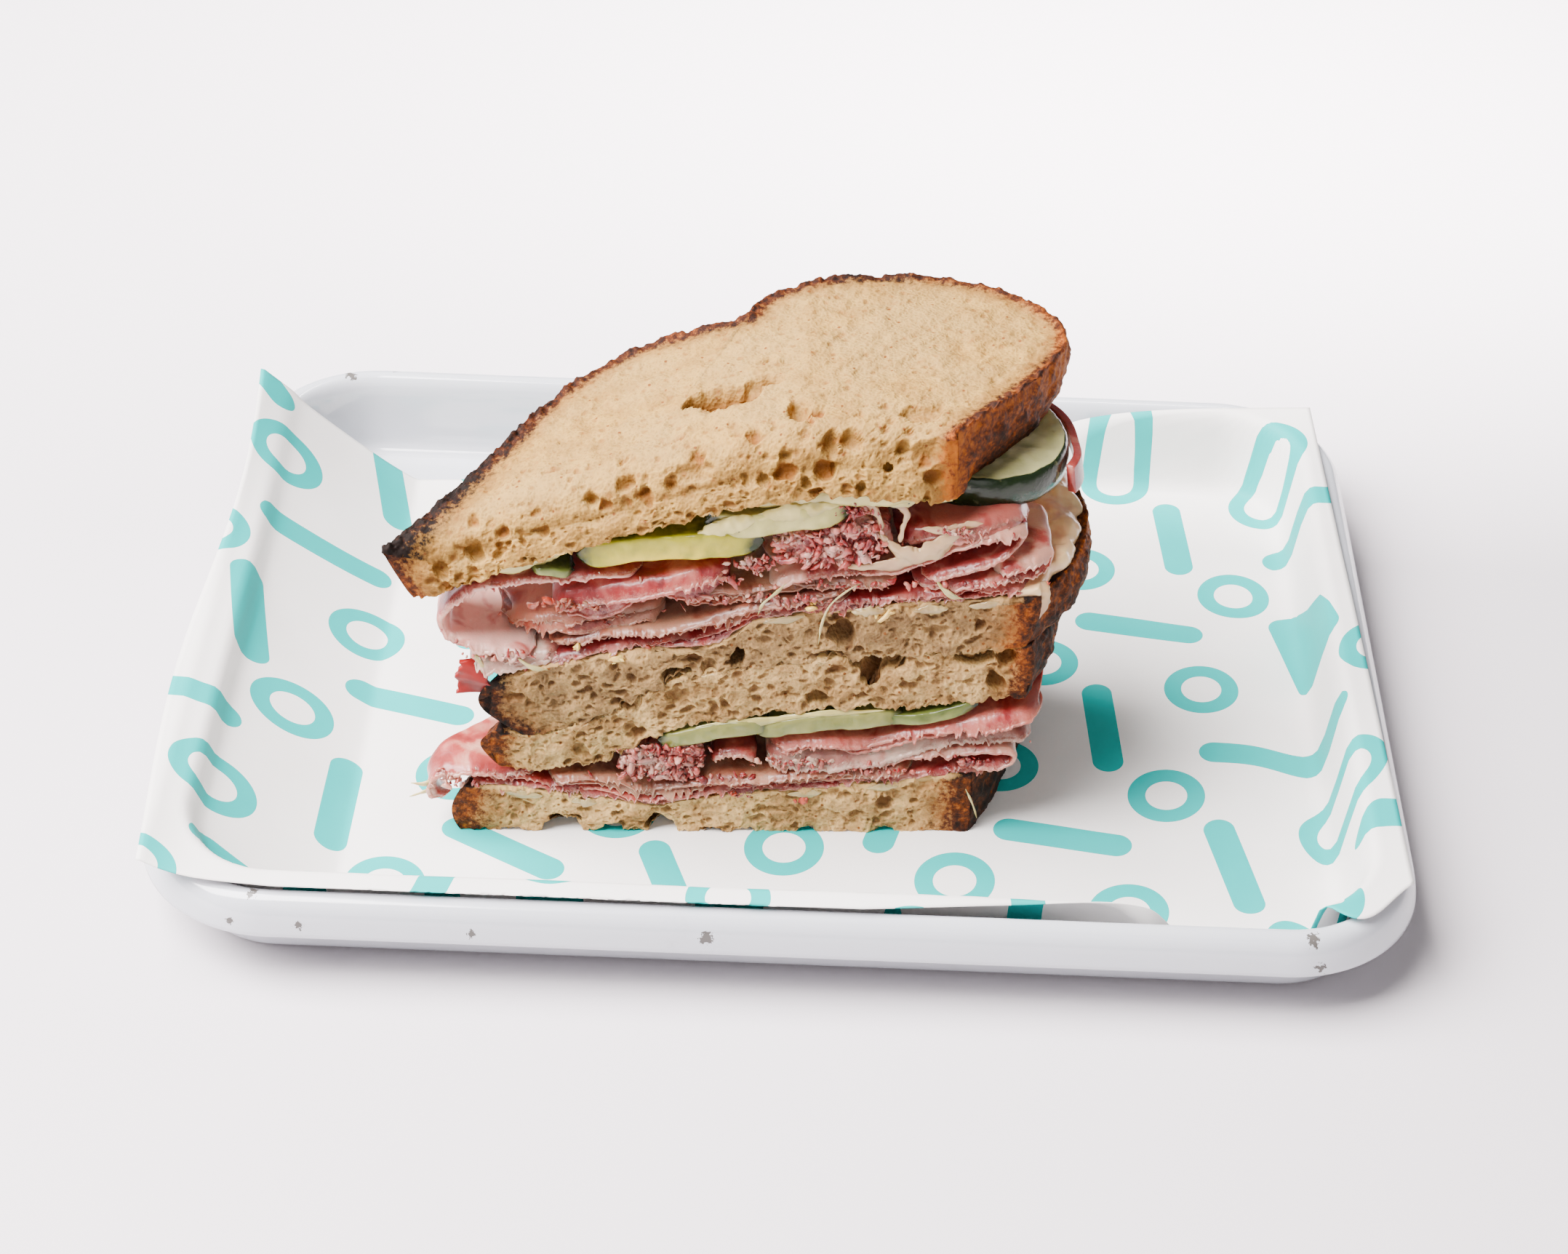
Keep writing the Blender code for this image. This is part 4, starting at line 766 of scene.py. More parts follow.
def paper_finish():
    """Greaseproof paper, pulp-dense and calendered: warm white with a faint sheen and soft mottling, printed
    with short turquoise strokes that cross in turn between open rings."""
    made, tree, shader, spot = start_finish("greaseproof_paper", Roughness=0.5, Specular_IOR_Level=0.12)
    flat = wire(tree, "UVMap", uv_map="sheet")
    turned = wire(tree, "VectorRotate", {"Vector": flat, "Angle": math.radians(PRINT_TURN)},
                  rotation_type="Z_AXIS")
    scaled = wire(tree, "VectorMath", {0: turned, 3: 1 / TILE}, operation="SCALE")
    tile = wire(tree, "VectorMath", {0: scaled}, operation="FLOOR")
    parts = wire(tree, "VectorMath", {0: scaled, 1: tile}, operation="SUBTRACT")
    centred = wire(tree, "VectorMath", {0: parts, 1: (0.5, 0.5, 0.0)}, operation="SUBTRACT")
    here = wire(tree, "VectorMath", {0: centred, 3: TILE}, operation="SCALE")
    row, column = (wire(tree, "SeparateXYZ", {0: tile}, out=axis) for axis in "XY")
    both = wire(tree, "Math", {0: row, 1: column}, operation="ADD")
    odd = wire(tree, "Math", {0: both, 1: 2.0}, operation="FLOORED_MODULO")
    crossed = wire(tree, "Math", {0: odd, 1: math.radians(STROKE_TURN)}, operation="MULTIPLY")
    lean = wire(tree, "Math", {0: row, 1: SWAY_STEP}, operation="MULTIPLY")
    lean = wire(tree, "Math", {0: lean}, operation="SINE")
    angle = wire(tree, "Math", {0: lean, 1: SWAY, 2: crossed}, operation="MULTIPLY_ADD")
    leaning = wire(tree, "VectorRotate", {"Vector": here, "Angle": angle}, rotation_type="Z_AXIS")
    x, y = (wire(tree, "SeparateXYZ", {0: leaning}, out=axis) for axis in "XY")
    along = wire(tree, "Math", {0: x}, operation="ABSOLUTE")
    beyond = wire(tree, "Math", {0: along, 1: STROKE_HALF_LENGTH - STROKE_HALF_WIDTH}, operation="SUBTRACT")
    beyond = wire(tree, "Math", {0: beyond, 1: 0.0}, operation="MAXIMUM")
    far = wire(tree, "CombineXYZ", {0: beyond, 1: y})
    stroke = wire(tree, "VectorMath", {0: far}, out="Value", operation="LENGTH")
    printed = wire(tree, "Math", {0: stroke, 1: STROKE_HALF_WIDTH}, operation="LESS_THAN")
    mirrored = wire(tree, "VectorMath", {0: here}, operation="ABSOLUTE")
    corner = wire(tree, "VectorMath", {0: mirrored, 1: (TILE / 2, TILE / 2, 0.0)}, operation="SUBTRACT")
    corner = wire(tree, "VectorMath", {0: corner}, out="Value", operation="LENGTH")
    off_ring = wire(tree, "Math", {0: corner, 1: RING_RADIUS}, operation="SUBTRACT")
    off_ring = wire(tree, "Math", {0: off_ring}, operation="ABSOLUTE")
    ring = wire(tree, "Math", {0: off_ring, 1: RING_HALF_WIDTH}, operation="LESS_THAN")
    mottle = wire(tree, "TexNoise", {"Vector": spot, "Scale": 1 / (30 * MM), "Detail": 5.0})
    sheet = wire(tree, "ValToRGB", {"Fac": mottle}, stops=[(0.3, "#e2dedb"), (0.7, "#e9e6e3")])
    ink = wire(tree, "ValToRGB", {"Fac": mottle}, stops=[(0.3, "#009c99"), (0.7, "#00a6a2")])
    inked = wire(tree, "Math", {0: printed, 1: ring}, operation="MAXIMUM")
    colour = wire(tree, "Mix", {0: inked, 6: sheet, 7: ink}, data_type="RGBA")
    fibre = wire(tree, "TexNoise", {"Vector": spot, "Scale": 1 / (3 * MM), "Detail": 4.0})
    bump = wire(tree, "Bump", {"Height": fibre, "Strength": 0.08, "Distance": 0.3 * MM})
    link(tree, shader, Base_Color=colour, Normal=bump)
    return made


def plain_finish(name, light, dark, size, roughness, **values):
    """One finish with two close tones in soft patches of the given size in millimetres."""
    made, tree, shader, spot = start_finish(name, Roughness=roughness, **values)
    clouds = wire(tree, "TexNoise", {"Vector": spot, "Scale": 1 / (size * MM), "Detail": 4.0})
    colour = wire(tree, "ValToRGB", {"Fac": clouds}, stops=[(0.35, dark), (0.62, light)])
    bump = wire(tree, "Bump", {"Height": clouds, "Strength": 0.2, "Distance": 0.3 * MM})
    link(tree, shader, Base_Color=colour, Normal=bump)
    return made


# Bread

# The stretches of a slice's loops: up the cut face, round the upper front edge, back over the roof, down the
# crust, and forward under the floor
CUT, EDGE, ROOF, CRUST, BASE = range(5)


def outline_gap(x, y, outline):
    """Distance on plan from each point to the nearest point of an outline."""
    nearest = np.full(x.shape, 9.0)
    for px, py in outline:
        nearest = np.minimum(nearest, np.hypot(x - px, y - py))
    return nearest


def through(values, w):
    """The parabola through three values, at the floor, halfway up and at the roof."""
    low, middle, high = values
    return low * (1 - w) * (1 - 2 * w) + middle * 4 * w * (1 - w) + high * w * (2 * w - 1)


def slice_form(spec):
    """The plain form of a half slice, as loops round its cross-sections from the cut's left end to its right.
    A point lies a share u of the way along the slice, v of the way from the cut to the crust's outline and w
    of the way from floor to roof; t runs from 0 to 1 along each stretch of a loop. The crust swells between
    floor and roof by a parabola, and the upper front edge is a quarter of a circle."""
    stations, *counts = spec["grid"]
    zone = np.repeat(np.arange(5), counts)[None]
    t = np.concatenate([np.linspace(0, 1, count, endpoint=False) for count in counts])[None]
    u = np.linspace(0, 1, stations)[:, None]
    w = np.select([zone == CUT, zone == CRUST, zone == BASE], [t, 1 - t, 0 * t], 1.0)
    left, right = through(spec["left"], w), through(spec["right"], w)
    outline = smooth_path([(spec["left"][1], 0.0)] + spec["crust"] + [(spec["right"][1], 0.0)], stations)
    back_by = outline[:, 1:]
    away = outline - np.array(SLICE_MIDDLE)
    away /= np.linalg.norm(away, axis=1, keepdims=True)
    swell = CRUST_BULGE * (1 - (2 * w - 1) ** 2) - CRUST_DRAW - spec["crust_lean"] * (1 - w)
    behind = outline[:, None] + away[:, None] * (swell * np.minimum(1, back_by))[..., None]
    behind[..., 0] += (left - spec["left"][1]) * np.exp(-back_by) * (u < 0.5)
    behind[..., 0] += (right - spec["right"][1]) * np.exp(-back_by) * (u > 0.5)
    radius = np.minimum(spec["round"], 0.40 * back_by)
    first = radius / np.maximum(behind[..., 1], 0.01)
    turn = t * math.pi / 2
    v = np.select([zone == CUT, zone == EDGE, zone == ROOF, zone == CRUST],
                  [0 * first, first * (1 - np.cos(turn)), first + (1 - first) * t, 1 + 0 * first],
                  1 - t + 0 * first)
    x = (left + (right - left) * u) * (1 - v) + behind[..., 0] * v
    y = behind[..., 1] * v
    low = level(spec["floor"], x, y) - SEAM_PRESS * (spec["floor"] == "seam")
    high = level(spec["roof"], x, y) + SEAM_PRESS * (spec["roof"] == "seam")
    z = low + (high - low) * w
    z = np.where(zone == CUT, low + (high - radius - low) * t, z)
    z = np.where(zone == EDGE, high - radius * (1 - np.sin(turn)), z)
    y = y - spec["lean"] * (1 - w * t) * (zone == CUT) * np.minimum(1, back_by / 1.5)
    points = np.stack([x, y, z], axis=-1)
    normal = grid_normals(points)
    normal *= -np.sign(normal[stations // 2, counts[0] // 2, 1])
    normal = np.where((zone == ROOF)[..., None], np.array([0.0, 0.0, 1.0]), normal)
    roof_outline = behind[:, counts[0] + counts[1]]
    return SimpleNamespace(points=points, normal=normal, zone=zone, t=t, u=u, w=w, left=left, right=right,
                           high=high, roof_outline=roof_outline)


def bubble_depth(points, openness, shares, seed):
    """Depth of the crumb's bubbles: the deepest of large ones, where the crumb is open, and of medium and
    small ones, which are shallower where it is closed."""
    wide, middle, fine = shares
    large = pores(points, 0.58, (0.10, 0.29), wide, seed) * (openness > 0.35) * 0.95
    medium = pores(points, 0.29, (0.07, 0.16), middle, seed + 5) * (0.32 + 0.68 * openness) * 0.95
    small = pores(points, 0.15, (0.035, 0.075), fine, seed + 9) * (0.45 + 0.55 * openness)
    return np.maximum(np.maximum(large, medium), small)


def hollow_depth(name, points):
    """Depth of a slice's large hollows, each a ball stretched to its radii. One in the sliced face is as deep
    as it is high, and one in the cut face as it reaches back."""
    deepest = np.zeros(points.shape[:-1])
    for centre, radii in HOLLOWS[name]:
        gap = np.linalg.norm((points - np.array(centre)) / np.array(radii), axis=-1)
        reach = radii[2] if centre[1] > 0.3 else radii[1]
        deepest = np.maximum(deepest, np.sqrt(np.maximum(1 - gap ** 2, 0)) * reach)
    return deepest


def bread_slice(name, spec, seed, finish):
    """A half slice: its plain form with pores and hollows pushed in along its normals, the crust pushed out
    by rough noise, and the edges of the cut frayed. Its masks give the finish how deep in a pore a point
    lies, how far from the crust, how hard it is baked there, and how much butter has run down the cut."""
    form = slice_form(spec)
    points, normal, zone, t, u = form.points, form.normal, form.zone, form.t, form.u
    x, y, z = (points[..., k] for k in range(3))
    rounded = spec["round"] > WELL_ROUNDED
    on_roof = (zone == EDGE) | (zone == ROOF)
    solid = np.clip(np.minimum(u, 1 - u) / 0.012, 0, 1)

    # How far each point lies from the crust, on its own face
    inside = outline_gap(x, y, form.roof_outline)
    faded = table(x, spec["rim"]) * inside
    ends = np.minimum(x - form.left, form.right - x)
    rind = np.select([zone == CRUST, on_roof, zone == CUT],
                     [0 * x, faded, np.minimum(ends * spec["heel"], faded + 0.05)], inside)
    crumb = np.clip((rind - 0.12) / 0.25, 0, 1)

    # The crumb: bubbles on the faces that show, and the hollows of the table, all a little out of round
    warp = np.stack([0.10 * lumps(points, 0.5, seed + 20 + k, 2) + 0.035 * lumps(points, 0.13, seed + 24 + k)
                     for k in range(3)], axis=-1)
    bent = points + warp
    near_cut = np.clip(1 - y / 1.6, 0, 1) ** 0.7
    openness = np.where(zone == CUT, 1.0, near_cut if rounded else 0.5) * np.ones_like(x)
    face = ((zone <= EDGE) | ((zone == ROOF) & rounded)) & (solid > 0)
    bubbles = np.zeros_like(x)
    bubbles[face] = bubble_depth(bent[face] * np.array([0.9, 1.0, 1.1]), openness[face], spec["crumb"], seed)
    depth = np.maximum(bubbles, hollow_depth(name, bent) * (zone <= ROOF))
    depth = depth * crumb * solid
    bubbles = bubbles * crumb * solid
    ridges = 0.06 * (0.5 - np.abs(lumps(bent, 0.34, seed + 42, 2)))
    soft = 0.05 * lumps(points, 0.6, seed + 40, 2)
    soft = soft + 0.035 * lumps(points, 0.22, seed + 44, 2) * (zone == ROOF)
    soft = soft + ridges * np.where(zone == CUT, 1.0, 0.3 * near_cut)

    # The crust: knobs, a lip round the sliced face, and fraying where the cut face meets floor and roof
    knobs = 0.05 * lumps(points, 0.30, seed + 50, 4) + 0.05 * np.maximum(lumps(points, 0.7, seed + 60, 2), 0)
    crusty = np.clip(1 - rind / 0.22, 0, 1) * solid
    lip = 0.09 * np.exp(-(rind / 0.14) ** 2) * on_roof * (1 + lumps(points, 0.22, seed + 64, 3)) * rounded
    fray = 0.10 * lumps(points * np.array([1, 0.6, 0.3]), 0.20, seed + 70, 3) * (rind > 0.1)
    edge = np.exp(-(1 - t) * 12) * (not rounded) + np.exp(-t * 12)
    points = points + normal * (knobs * crusty + lip - depth + soft * crumb * solid)[..., None]
    points[..., 2] += fray * edge * (zone == CUT) * solid

    bake = table(u, spec["bake"]) + 0.22 * (1 - form.w) * (zone == CRUST) + 0.44 * on_roof
    bake = bake + 0.16 * (knobs / 0.05) * crusty
    bake = bake + 0.14 * lumps(points, 1.1, seed + 80, 3) - 1.1 * np.clip(rind, 0, 0.4)
    run_down = 0.22 + 0.34 * np.maximum(lumps(points * [1, 0, 0], 1.3, seed + 90, 2), -0.5)
    butter = 1 - (form.high - z) / run_down + 0.5 * lumps(points, 0.35, seed + 92, 2)
    butter = butter * (zone <= EDGE) * spec["roof"].endswith("filling_floor")
    # The pore mask drives the painted shade inside pores and hollows in the finish
    masks = {"pore": np.clip(0.6 * bubbles / 0.20 + 0.4 * depth / 0.40, 0, 1), "rind": rind, "bake": bake,
             "butter": np.clip(butter, 0, 1)}
    return food_piece(name + "_crumb", [(points, masks)], finish, "bread", name)


# Ham

# Points of a leaf along each centimetre of its edge, from its edge to its back, and round its edge
LEAF_ALONG = 36
LEAF_BACK = 18
LEAF_EDGE = 5
# How much of its share of a slice's thickness a leaf fills
LEAF_FILL = 0.88


def ham_leaf(spec, offset, thickness, back_by, seed):
    """One leaf of ham: its path at the cut carried back into the food as a closed loop of top, front edge,
    underside and back edge. At a distance s behind its edge the leaf hangs down by hang * exp(-s / 0.14),
    slow noise bends it, and teeth lengthen the edge where it was torn."""
    half, path = spec["half"], spec["path"]
    length = np.linalg.norm(np.diff(smooth_path(path, 60), axis=0), axis=1).sum()
    stations = int(LEAF_ALONG * length)
    line = smooth_path(path, stations)
    heading = headings(line)
    back = np.linspace(0, 1, LEAF_BACK) ** 2.2
    edge = np.linspace(0, math.pi, LEAF_EDGE + 2)[1:-1]
    v = np.concatenate([back[::-1], 0 * edge, back])[None]
    side = np.concatenate([np.full(LEAF_BACK, 1.0), np.cos(edge), np.full(LEAF_BACK, -1.0)])[None]
    bulge = np.concatenate([0 * back, np.sin(edge), 0 * back])[None]
    x0, z0 = line[:, :1], line[:, 1:]
    tx, tz = heading[:, :1], heading[:, 1:]
    end = table(x0, REACH[half]) * spec["share"]
    run = np.linspace(0, 1, stations)[:, None]
    tip = np.minimum(run, 1 - run) * length
    flat = np.stack([run * length + 0 * v, v * end, np.full((stations, v.shape[1]), seed * 0.37)], axis=-1)
    rim = flat * [1, 0, 1]

    # Where the front edge lies, and how it hangs and frays
    y0 = table(x0, spec["front"]) + back_by + 0.10 * lumps(rim, 1.5, seed) + 0.04 * lumps(rim, 0.45, seed + 1)
    y0 = y0 + 0.35 * np.clip(1 - tip / 0.4, 0, 1) ** 2
    behind = (end - y0) * v
    hang = spec["hang"] * (1 + 0.7 * lumps(rim, 1.2, seed + 9)) + 0.035 * lumps(rim, 0.35, seed + 10)
    hang = np.maximum(hang, 0) * np.exp(-behind / 0.14) * np.abs(tx)
    teeth = np.maximum(lumps(rim, 0.10, seed + 2), 0) + 0.6 * np.maximum(lumps(rim, 0.05, seed + 3), 0)
    teeth = teeth * min(1, 0.4 + 6 * spec["hang"]) * (0.7 + np.maximum(lumps(rim, 0.9, seed + 11), -0.5))
    teeth = teeth * 0.17 * np.exp(-behind / 0.04)

    # The leaf's thickness, and how it bends and drifts
    swell = 1 + 0.25 * lumps(flat, 0.8, seed + 4) + 0.12 * lumps(flat, 0.25, seed + 5)
    half_thick = thickness / 2 * swell * np.clip(tip / 0.35, 0.12, 1) ** 0.6
    half_thick = half_thick * (1 - 0.45 * np.exp(-behind / 0.05))
    bend = offset + 0.055 * lumps(flat, 1.3, seed + 6, 2) + 0.012 * lumps(flat, 0.33, seed + 7)
    across = bend + side * half_thick
    drift = 0.45 * lumps(flat * [0, 1, 1], 1.3, seed + 13, 2) * np.clip(1 - tip / 1.6, 0, 1) * v ** 0.5
    x = x0 - tz * across + drift
    y = y0 + behind - bulge * np.minimum(half_thick, 0.05) - teeth * 0.4
    z = z0 + tx * across - hang - teeth * 0.8 * np.abs(tx)
    pucker = 0.012 * lumps(np.stack([x, y, z], axis=-1), 0.12, seed + 8, 2) * np.exp(-behind / 0.25)
    points = np.stack([x, y - pucker, squeeze(half, x, y, z) + pucker], axis=-1)
    own_tone = 0.2 * (lattice(np.array([seed, 1, 2]), 5) - 0.5)
    # Painted light and shade: one face of the leaf is painted paler than the other by 'paler'
    tone = 0.5 + spec["paler"] * side + 0.25 * lumps(rim, 1.8, seed + 12) + own_tone
    return points, {"cut": np.exp(-behind / 0.05) + 0 * side, "tone": tone}


# Rings of a flake and points of each
FLAKE_RINGS = 8
FLAKE_POINTS = 9


def flake(centre, size, seed, rng):
    """A crumpled shred: a sphere's rings stretched at random, pushed by noise and bent out of round."""
    up = np.linspace(0.02, math.pi - 0.02, FLAKE_RINGS)[:, None]
    around = angles_round(FLAKE_POINTS)
    ball = np.stack([np.sin(up) * np.cos(around), np.sin(up) * np.sin(around), np.cos(up) + 0 * around],
                    axis=-1)
    push = 1 + 0.45 * lumps(ball + centre * 5, 0.6, seed) + 0.25 * lumps(ball + centre * 7, 0.25, seed + 1)
    ball *= push[..., None]
    ball[..., 0] += 0.5 * ball[..., 2] ** 2
    stretch = np.diag(rng.uniform(0.25, 1.0, 3) * [1, 1, 1.8])
    turn, _ = np.linalg.qr(rng.normal(size=(3, 3)))
    return ball @ stretch @ turn * size + centre


def ham_shred(centre, sizes, seed, rng, cuts, tones):
    """A flake of ham of a size drawn from a range, with one draw each for how cut it looks and its tone."""
    body = flake(centre, rng.uniform(*sizes), seed, rng)
    cut, tone = rng.uniform(*cuts), rng.uniform(*tones)
    return body, {"cut": np.full(body.shape[:2], cut), "tone": np.full(body.shape[:2], tone)}


def ham_slice(name, spec, seed, finish):
    """A folded slice of ham as one leaf, or two side by side, with torn crumbs of meat on the front edge."""
    skins = []
    for leaf in range(spec["leaves"]):
        offset = spec["thick"] * ((leaf + 0.5) / spec["leaves"] - 0.5)
        back_by = 0.12 * leaf * (1 - 2 * lattice(np.array([seed, leaf, 5]), 3))
        thickness = spec["thick"] / spec["leaves"] * LEAF_FILL
        skins.append(ham_leaf(spec, offset, thickness, back_by, seed + 31 * leaf))
    rng = np.random.default_rng(seed)
    line = smooth_path(spec["path"], 200)
    for k in range(int(5 * np.ptp(line[:, 0]))):
        x, z = line[rng.integers(len(line))]
        z = z - rng.uniform(-0.4, 0.6) * spec["thick"] - 0.6 * spec["hang"]
        y = table(x, spec["front"]) + rng.uniform(-0.04, 0.10)
        skins.append(ham_shred(np.array([x, y, z]), (0.02, 0.065), seed + k, rng, (0.2, 1), (0, 1)))
    return food_piece(name + "_meat", skins, finish, "ham", name)


# Rings of a heap over its front and towards its back, and the loose flakes on its front
HEAP_FRONT = 45
HEAP_BACK = 25
HEAP_FLAKES = 260


def ham_heap(name, spec, seed, finish):
    """A heap of shreds: rings grow from the middle of the cut's outline, are lofted back while they shrink by
    a parabola, and are carved by pores; crumpled flakes lie on the front."""
    half, share, outline = spec
    ring = smooth_path(outline + outline[:1], 181)[:-1]
    centre = ring.mean(axis=0)
    grown = np.linspace(0, 1, HEAP_FRONT + 1)[1:] ** 0.8
    back = np.linspace(0, 1, HEAP_BACK + 1)[1:]
    scale = np.concatenate([grown, 1 - 0.35 * back ** 2])
    plan = centre + (ring - centre)[None] * scale[:, None, None]
    v = np.concatenate([np.zeros(HEAP_FRONT), back])[:, None]
    y = v * share * table(plan[..., 0], REACH[half]) * 0.8 + 0.10
    y = y + 0.16 * (np.concatenate([grown, np.ones(HEAP_BACK)])[:, None] ** 6) * (v == 0)
    points = np.stack([plan[..., 0], y, squeeze(half, plan[..., 0], y, plan[..., 1])], axis=-1)
    warp = np.stack([lumps(points, 0.3, seed + k, 2) for k in range(3)], axis=-1)
    bent = points + 0.10 * warp
    holes = np.maximum(pores(bent, 0.26, (0.05, 0.14), 0.9, seed + 4),
                       pores(bent, 0.14, (0.02, 0.07), 0.9, seed + 8))
    outward = points - np.array([centre[0], 1.6, centre[1]])
    outward /= np.linalg.norm(outward, axis=-1, keepdims=True)
    outward = np.where((v == 0)[..., None], np.array([0, -1.0, 0]), outward)
    heave = 0.10 * lumps(points, 0.35, seed + 12, 3) - holes * 1.1
    points = points + outward * heave[..., None]
    # Painted shade: the heap's holes are painted less cut, and their tone drops towards the deep colour
    skins = [(points, {"cut": np.clip(0.5 - holes * 9, 0, 1), "tone": 0.6 - holes * 4})]
    rng = np.random.default_rng(seed)
    for k in range(HEAP_FLAKES):
        spot = centre + (ring[rng.integers(len(ring))] - centre) * rng.uniform(0, 0.98) ** 0.5
        spot = np.array([spot[0], rng.uniform(-0.04, 0.20), spot[1]])
        skins.append(ham_shred(spot, (0.05, 0.15), seed + k, rng, (0, 0.5), (0.3, 1)))
    return food_piece(name + "_shreds", skins, finish, "ham", name)


def loose_shreds(finish, spots, seed):
    """Torn shreds of one finish, scattered about their spots in front of the cut."""
    rng = np.random.default_rng(seed)
    skins = []
    for (x, z), (wide, high), count in spots:
        for k in range(count):
            centre = np.array([x, 0, z]) + rng.normal(size=3) * [wide, 0.05, high] * 0.6
            skins.append(ham_shred(centre, (0.03, 0.11), seed + k, rng, (0, 0.9), (0, 1)))
    return food_piece("ham_shreds_" + finish, skins, HAM_FINISHES[finish], "ham")


# Gherkins

def square_loop(up, over, down, under):
    """Shares v back and w up round a block's section: up its front, over its top, down its back, under."""
    v = np.concatenate([np.zeros(up), np.linspace(0, 1, over, endpoint=False), np.ones(down),
                        np.linspace(1, 0, under, endpoint=False)])[None]
    w = np.concatenate([np.linspace(0, 1, up, endpoint=False), np.ones(over),
                        np.linspace(1, 0, down, endpoint=False), np.zeros(under)])[None]
    return v, w


def cut_gherkin(name, spec, seed, finish):
    """Half a round slice: loops from end to end of the cut, up the cut face, back over the top, round the
    skin and forward underneath. Depth follows a circle, and both faces bow a little."""
    half, thickness, radius, _, path = spec
    line = smooth_path(path, 150)
    across = np.linspace(-1, 1, len(line))[:, None]
    v, w = square_loop(14, 16, 10, 16)
    from_middle = np.abs(2 * w - 1)
    depth = radius * np.sqrt(np.maximum(0.02, 1 - across ** 2))
    round_end = np.sqrt(np.maximum(0.06, 1 - across ** 14))
    x = line[:, :1] + 0.06 * (1 - from_middle ** 2) * np.sign(across) * np.abs(across) ** 20
    y = 0.03 - GHERKIN_BOW[half] * (1 - across ** 4) + v * depth
    y = y + 0.05 * from_middle ** 6 * (v == 0) + 0.05 * across ** 8
    z = line[:, 1:] + (w - 0.5) * thickness * round_end
    points = np.stack([x, y, z], axis=-1)
    points[..., 2] += 0.04 * lumps(points, 0.9, seed, 2)
    points[..., 1] += 0.03 * lumps(points, 0.4, seed + 3, 2) * (v < 0.1)
    points[..., 2] = squeeze(half, points[..., 0], points[..., 1], points[..., 2])
    skin = np.maximum(np.sqrt(across ** 2 + v ** 2 * (1 - across ** 2)), 0.48 + 0.36 * w)
    return food_piece(name + "_flesh", [(points, {"skin": np.clip(skin, 0, 1)})], finish, "gherkin", name)


def whole_gherkin(name, finish):
    """A whole round slice: circles from the middle of the top over the rounded edge to the middle of the
    bottom, with both faces dished by a parabola."""
    cx, cy, cz = WHOLE_GHERKIN["centre"]
    rx, ry = WHOLE_GHERKIN["radii"]
    thick = WHOLE_GHERKIN["thickness"]
    flat = 0.93
    top = np.linspace(0.02, flat, 26)
    side = np.linspace(0, math.pi, 14)[1:-1]
    radius = np.concatenate([top, flat + (1 - flat) * np.sin(side), top[::-1]])[:, None]
    height = np.concatenate([0 * top + 0.5, 0.5 * np.cos(side), 0 * top - 0.5])[:, None]
    around = angles_round(180)
    x = radius * np.cos(around)
    y = radius * np.sin(around)
    dish = -0.05 * (1 - radius ** 2) * np.sign(height)
    z = cz + height * thick + dish - 0.05 * x + ROOF_TILT * y * ry
    points = np.stack([cx + x * rx, cy + y * ry, z], axis=-1)
    points[..., 2] += 0.05 * lumps(points, 0.7, 71, 3)
    points[..., :2] += 0.02 * lumps(points, 0.5, 72, 2)[..., None]
    skin = np.where((radius > 0.945) & (height < 0.49), 1.0, np.clip(radius, 0, 0.80)) + 0 * x
    return food_piece(name + "_slice", [(points, {"skin": skin})], finish, "gherkin", name)


# Spreads, smears, strips and small bits

def block_loops(place, stations, widths):
    """Loops of a bent block: place(u, v, w) takes arrays, u along, v across and w up, each from 0 to 1."""
    n_v, n_w = widths
    v, w = (np.roll(share, -n_w, axis=1) for share in square_loop(n_w, n_v, n_w, n_v))
    u = np.linspace(0, 1, stations)[:, None]
    return np.stack(place(*np.broadcast_arrays(u, v, w)), axis=-1)


def clinging_spread(name, spec, seed, finish):
    """A thick smear under the bread: its thickness follows a table along the cut and thins to the back."""
    first, last = spec["ends"]

    def place(u, v, w):
        """Where a point of this smear lies."""
        x = first + (last - first) * u
        wavy = np.stack([x, 0 * x, 0 * x], axis=-1)
        y = 0.02 + 0.06 * lumps(wavy, 0.4, seed) + v * table(x, spec["reach"]) * spec["share"]
        y = y + 0.05 * (2 * w - 1) ** 2 * (v < 0.02)
        thick = table(x, spec["thickness"]) * (1 - 0.6 * v ** 4) * (1 + 0.3 * lumps(wavy, 0.5, seed + 1, 2))
        return x, y, level(spec["under"], x, y) + 0.03 - thick * (1 - w)

    return food_piece(name + "_smear", [(block_loops(place, 110, (26, 12)), {})], finish, "aioli", name)


def shown_spread(name, finish):
    """The spread behind the ham's right end: lobes at its outer edge, thick folds and thin hollows."""
    edge, start = SHOWN_SPREAD["outer"], SHOWN_SPREAD["inner"] - 0.5

    def place(u, v, w):
        """Where a point of the spread lies."""
        y = edge[0][0] + (edge[-1][0] - edge[0][0]) * u
        along = np.stack([0 * y, y, 0 * y], axis=-1)
        outer = table(y, edge) - 0.10 + 0.13 * np.abs(np.sin(2.6 * y + 0.8)) + 0.06 * lumps(along, 0.4, 8, 2)
        x = start + (outer - start) * v
        spot = np.stack([x, y, 0 * x], axis=-1)
        thick = table(x, SHOWN_SPREAD["thickness"]) * (1 + 0.35 * lumps(spot, 0.7, 9, 3)) + 0.04
        rim = np.sqrt(np.clip((1 - v) / 0.12, 0.02, 1))
        return x, y, level("upper_filling_floor", x, y) + 0.02 + thick * w * rim

    return food_piece(name + "_smear", [(block_loops(place, 150, (46, 6)), {})], finish, "aioli", name)


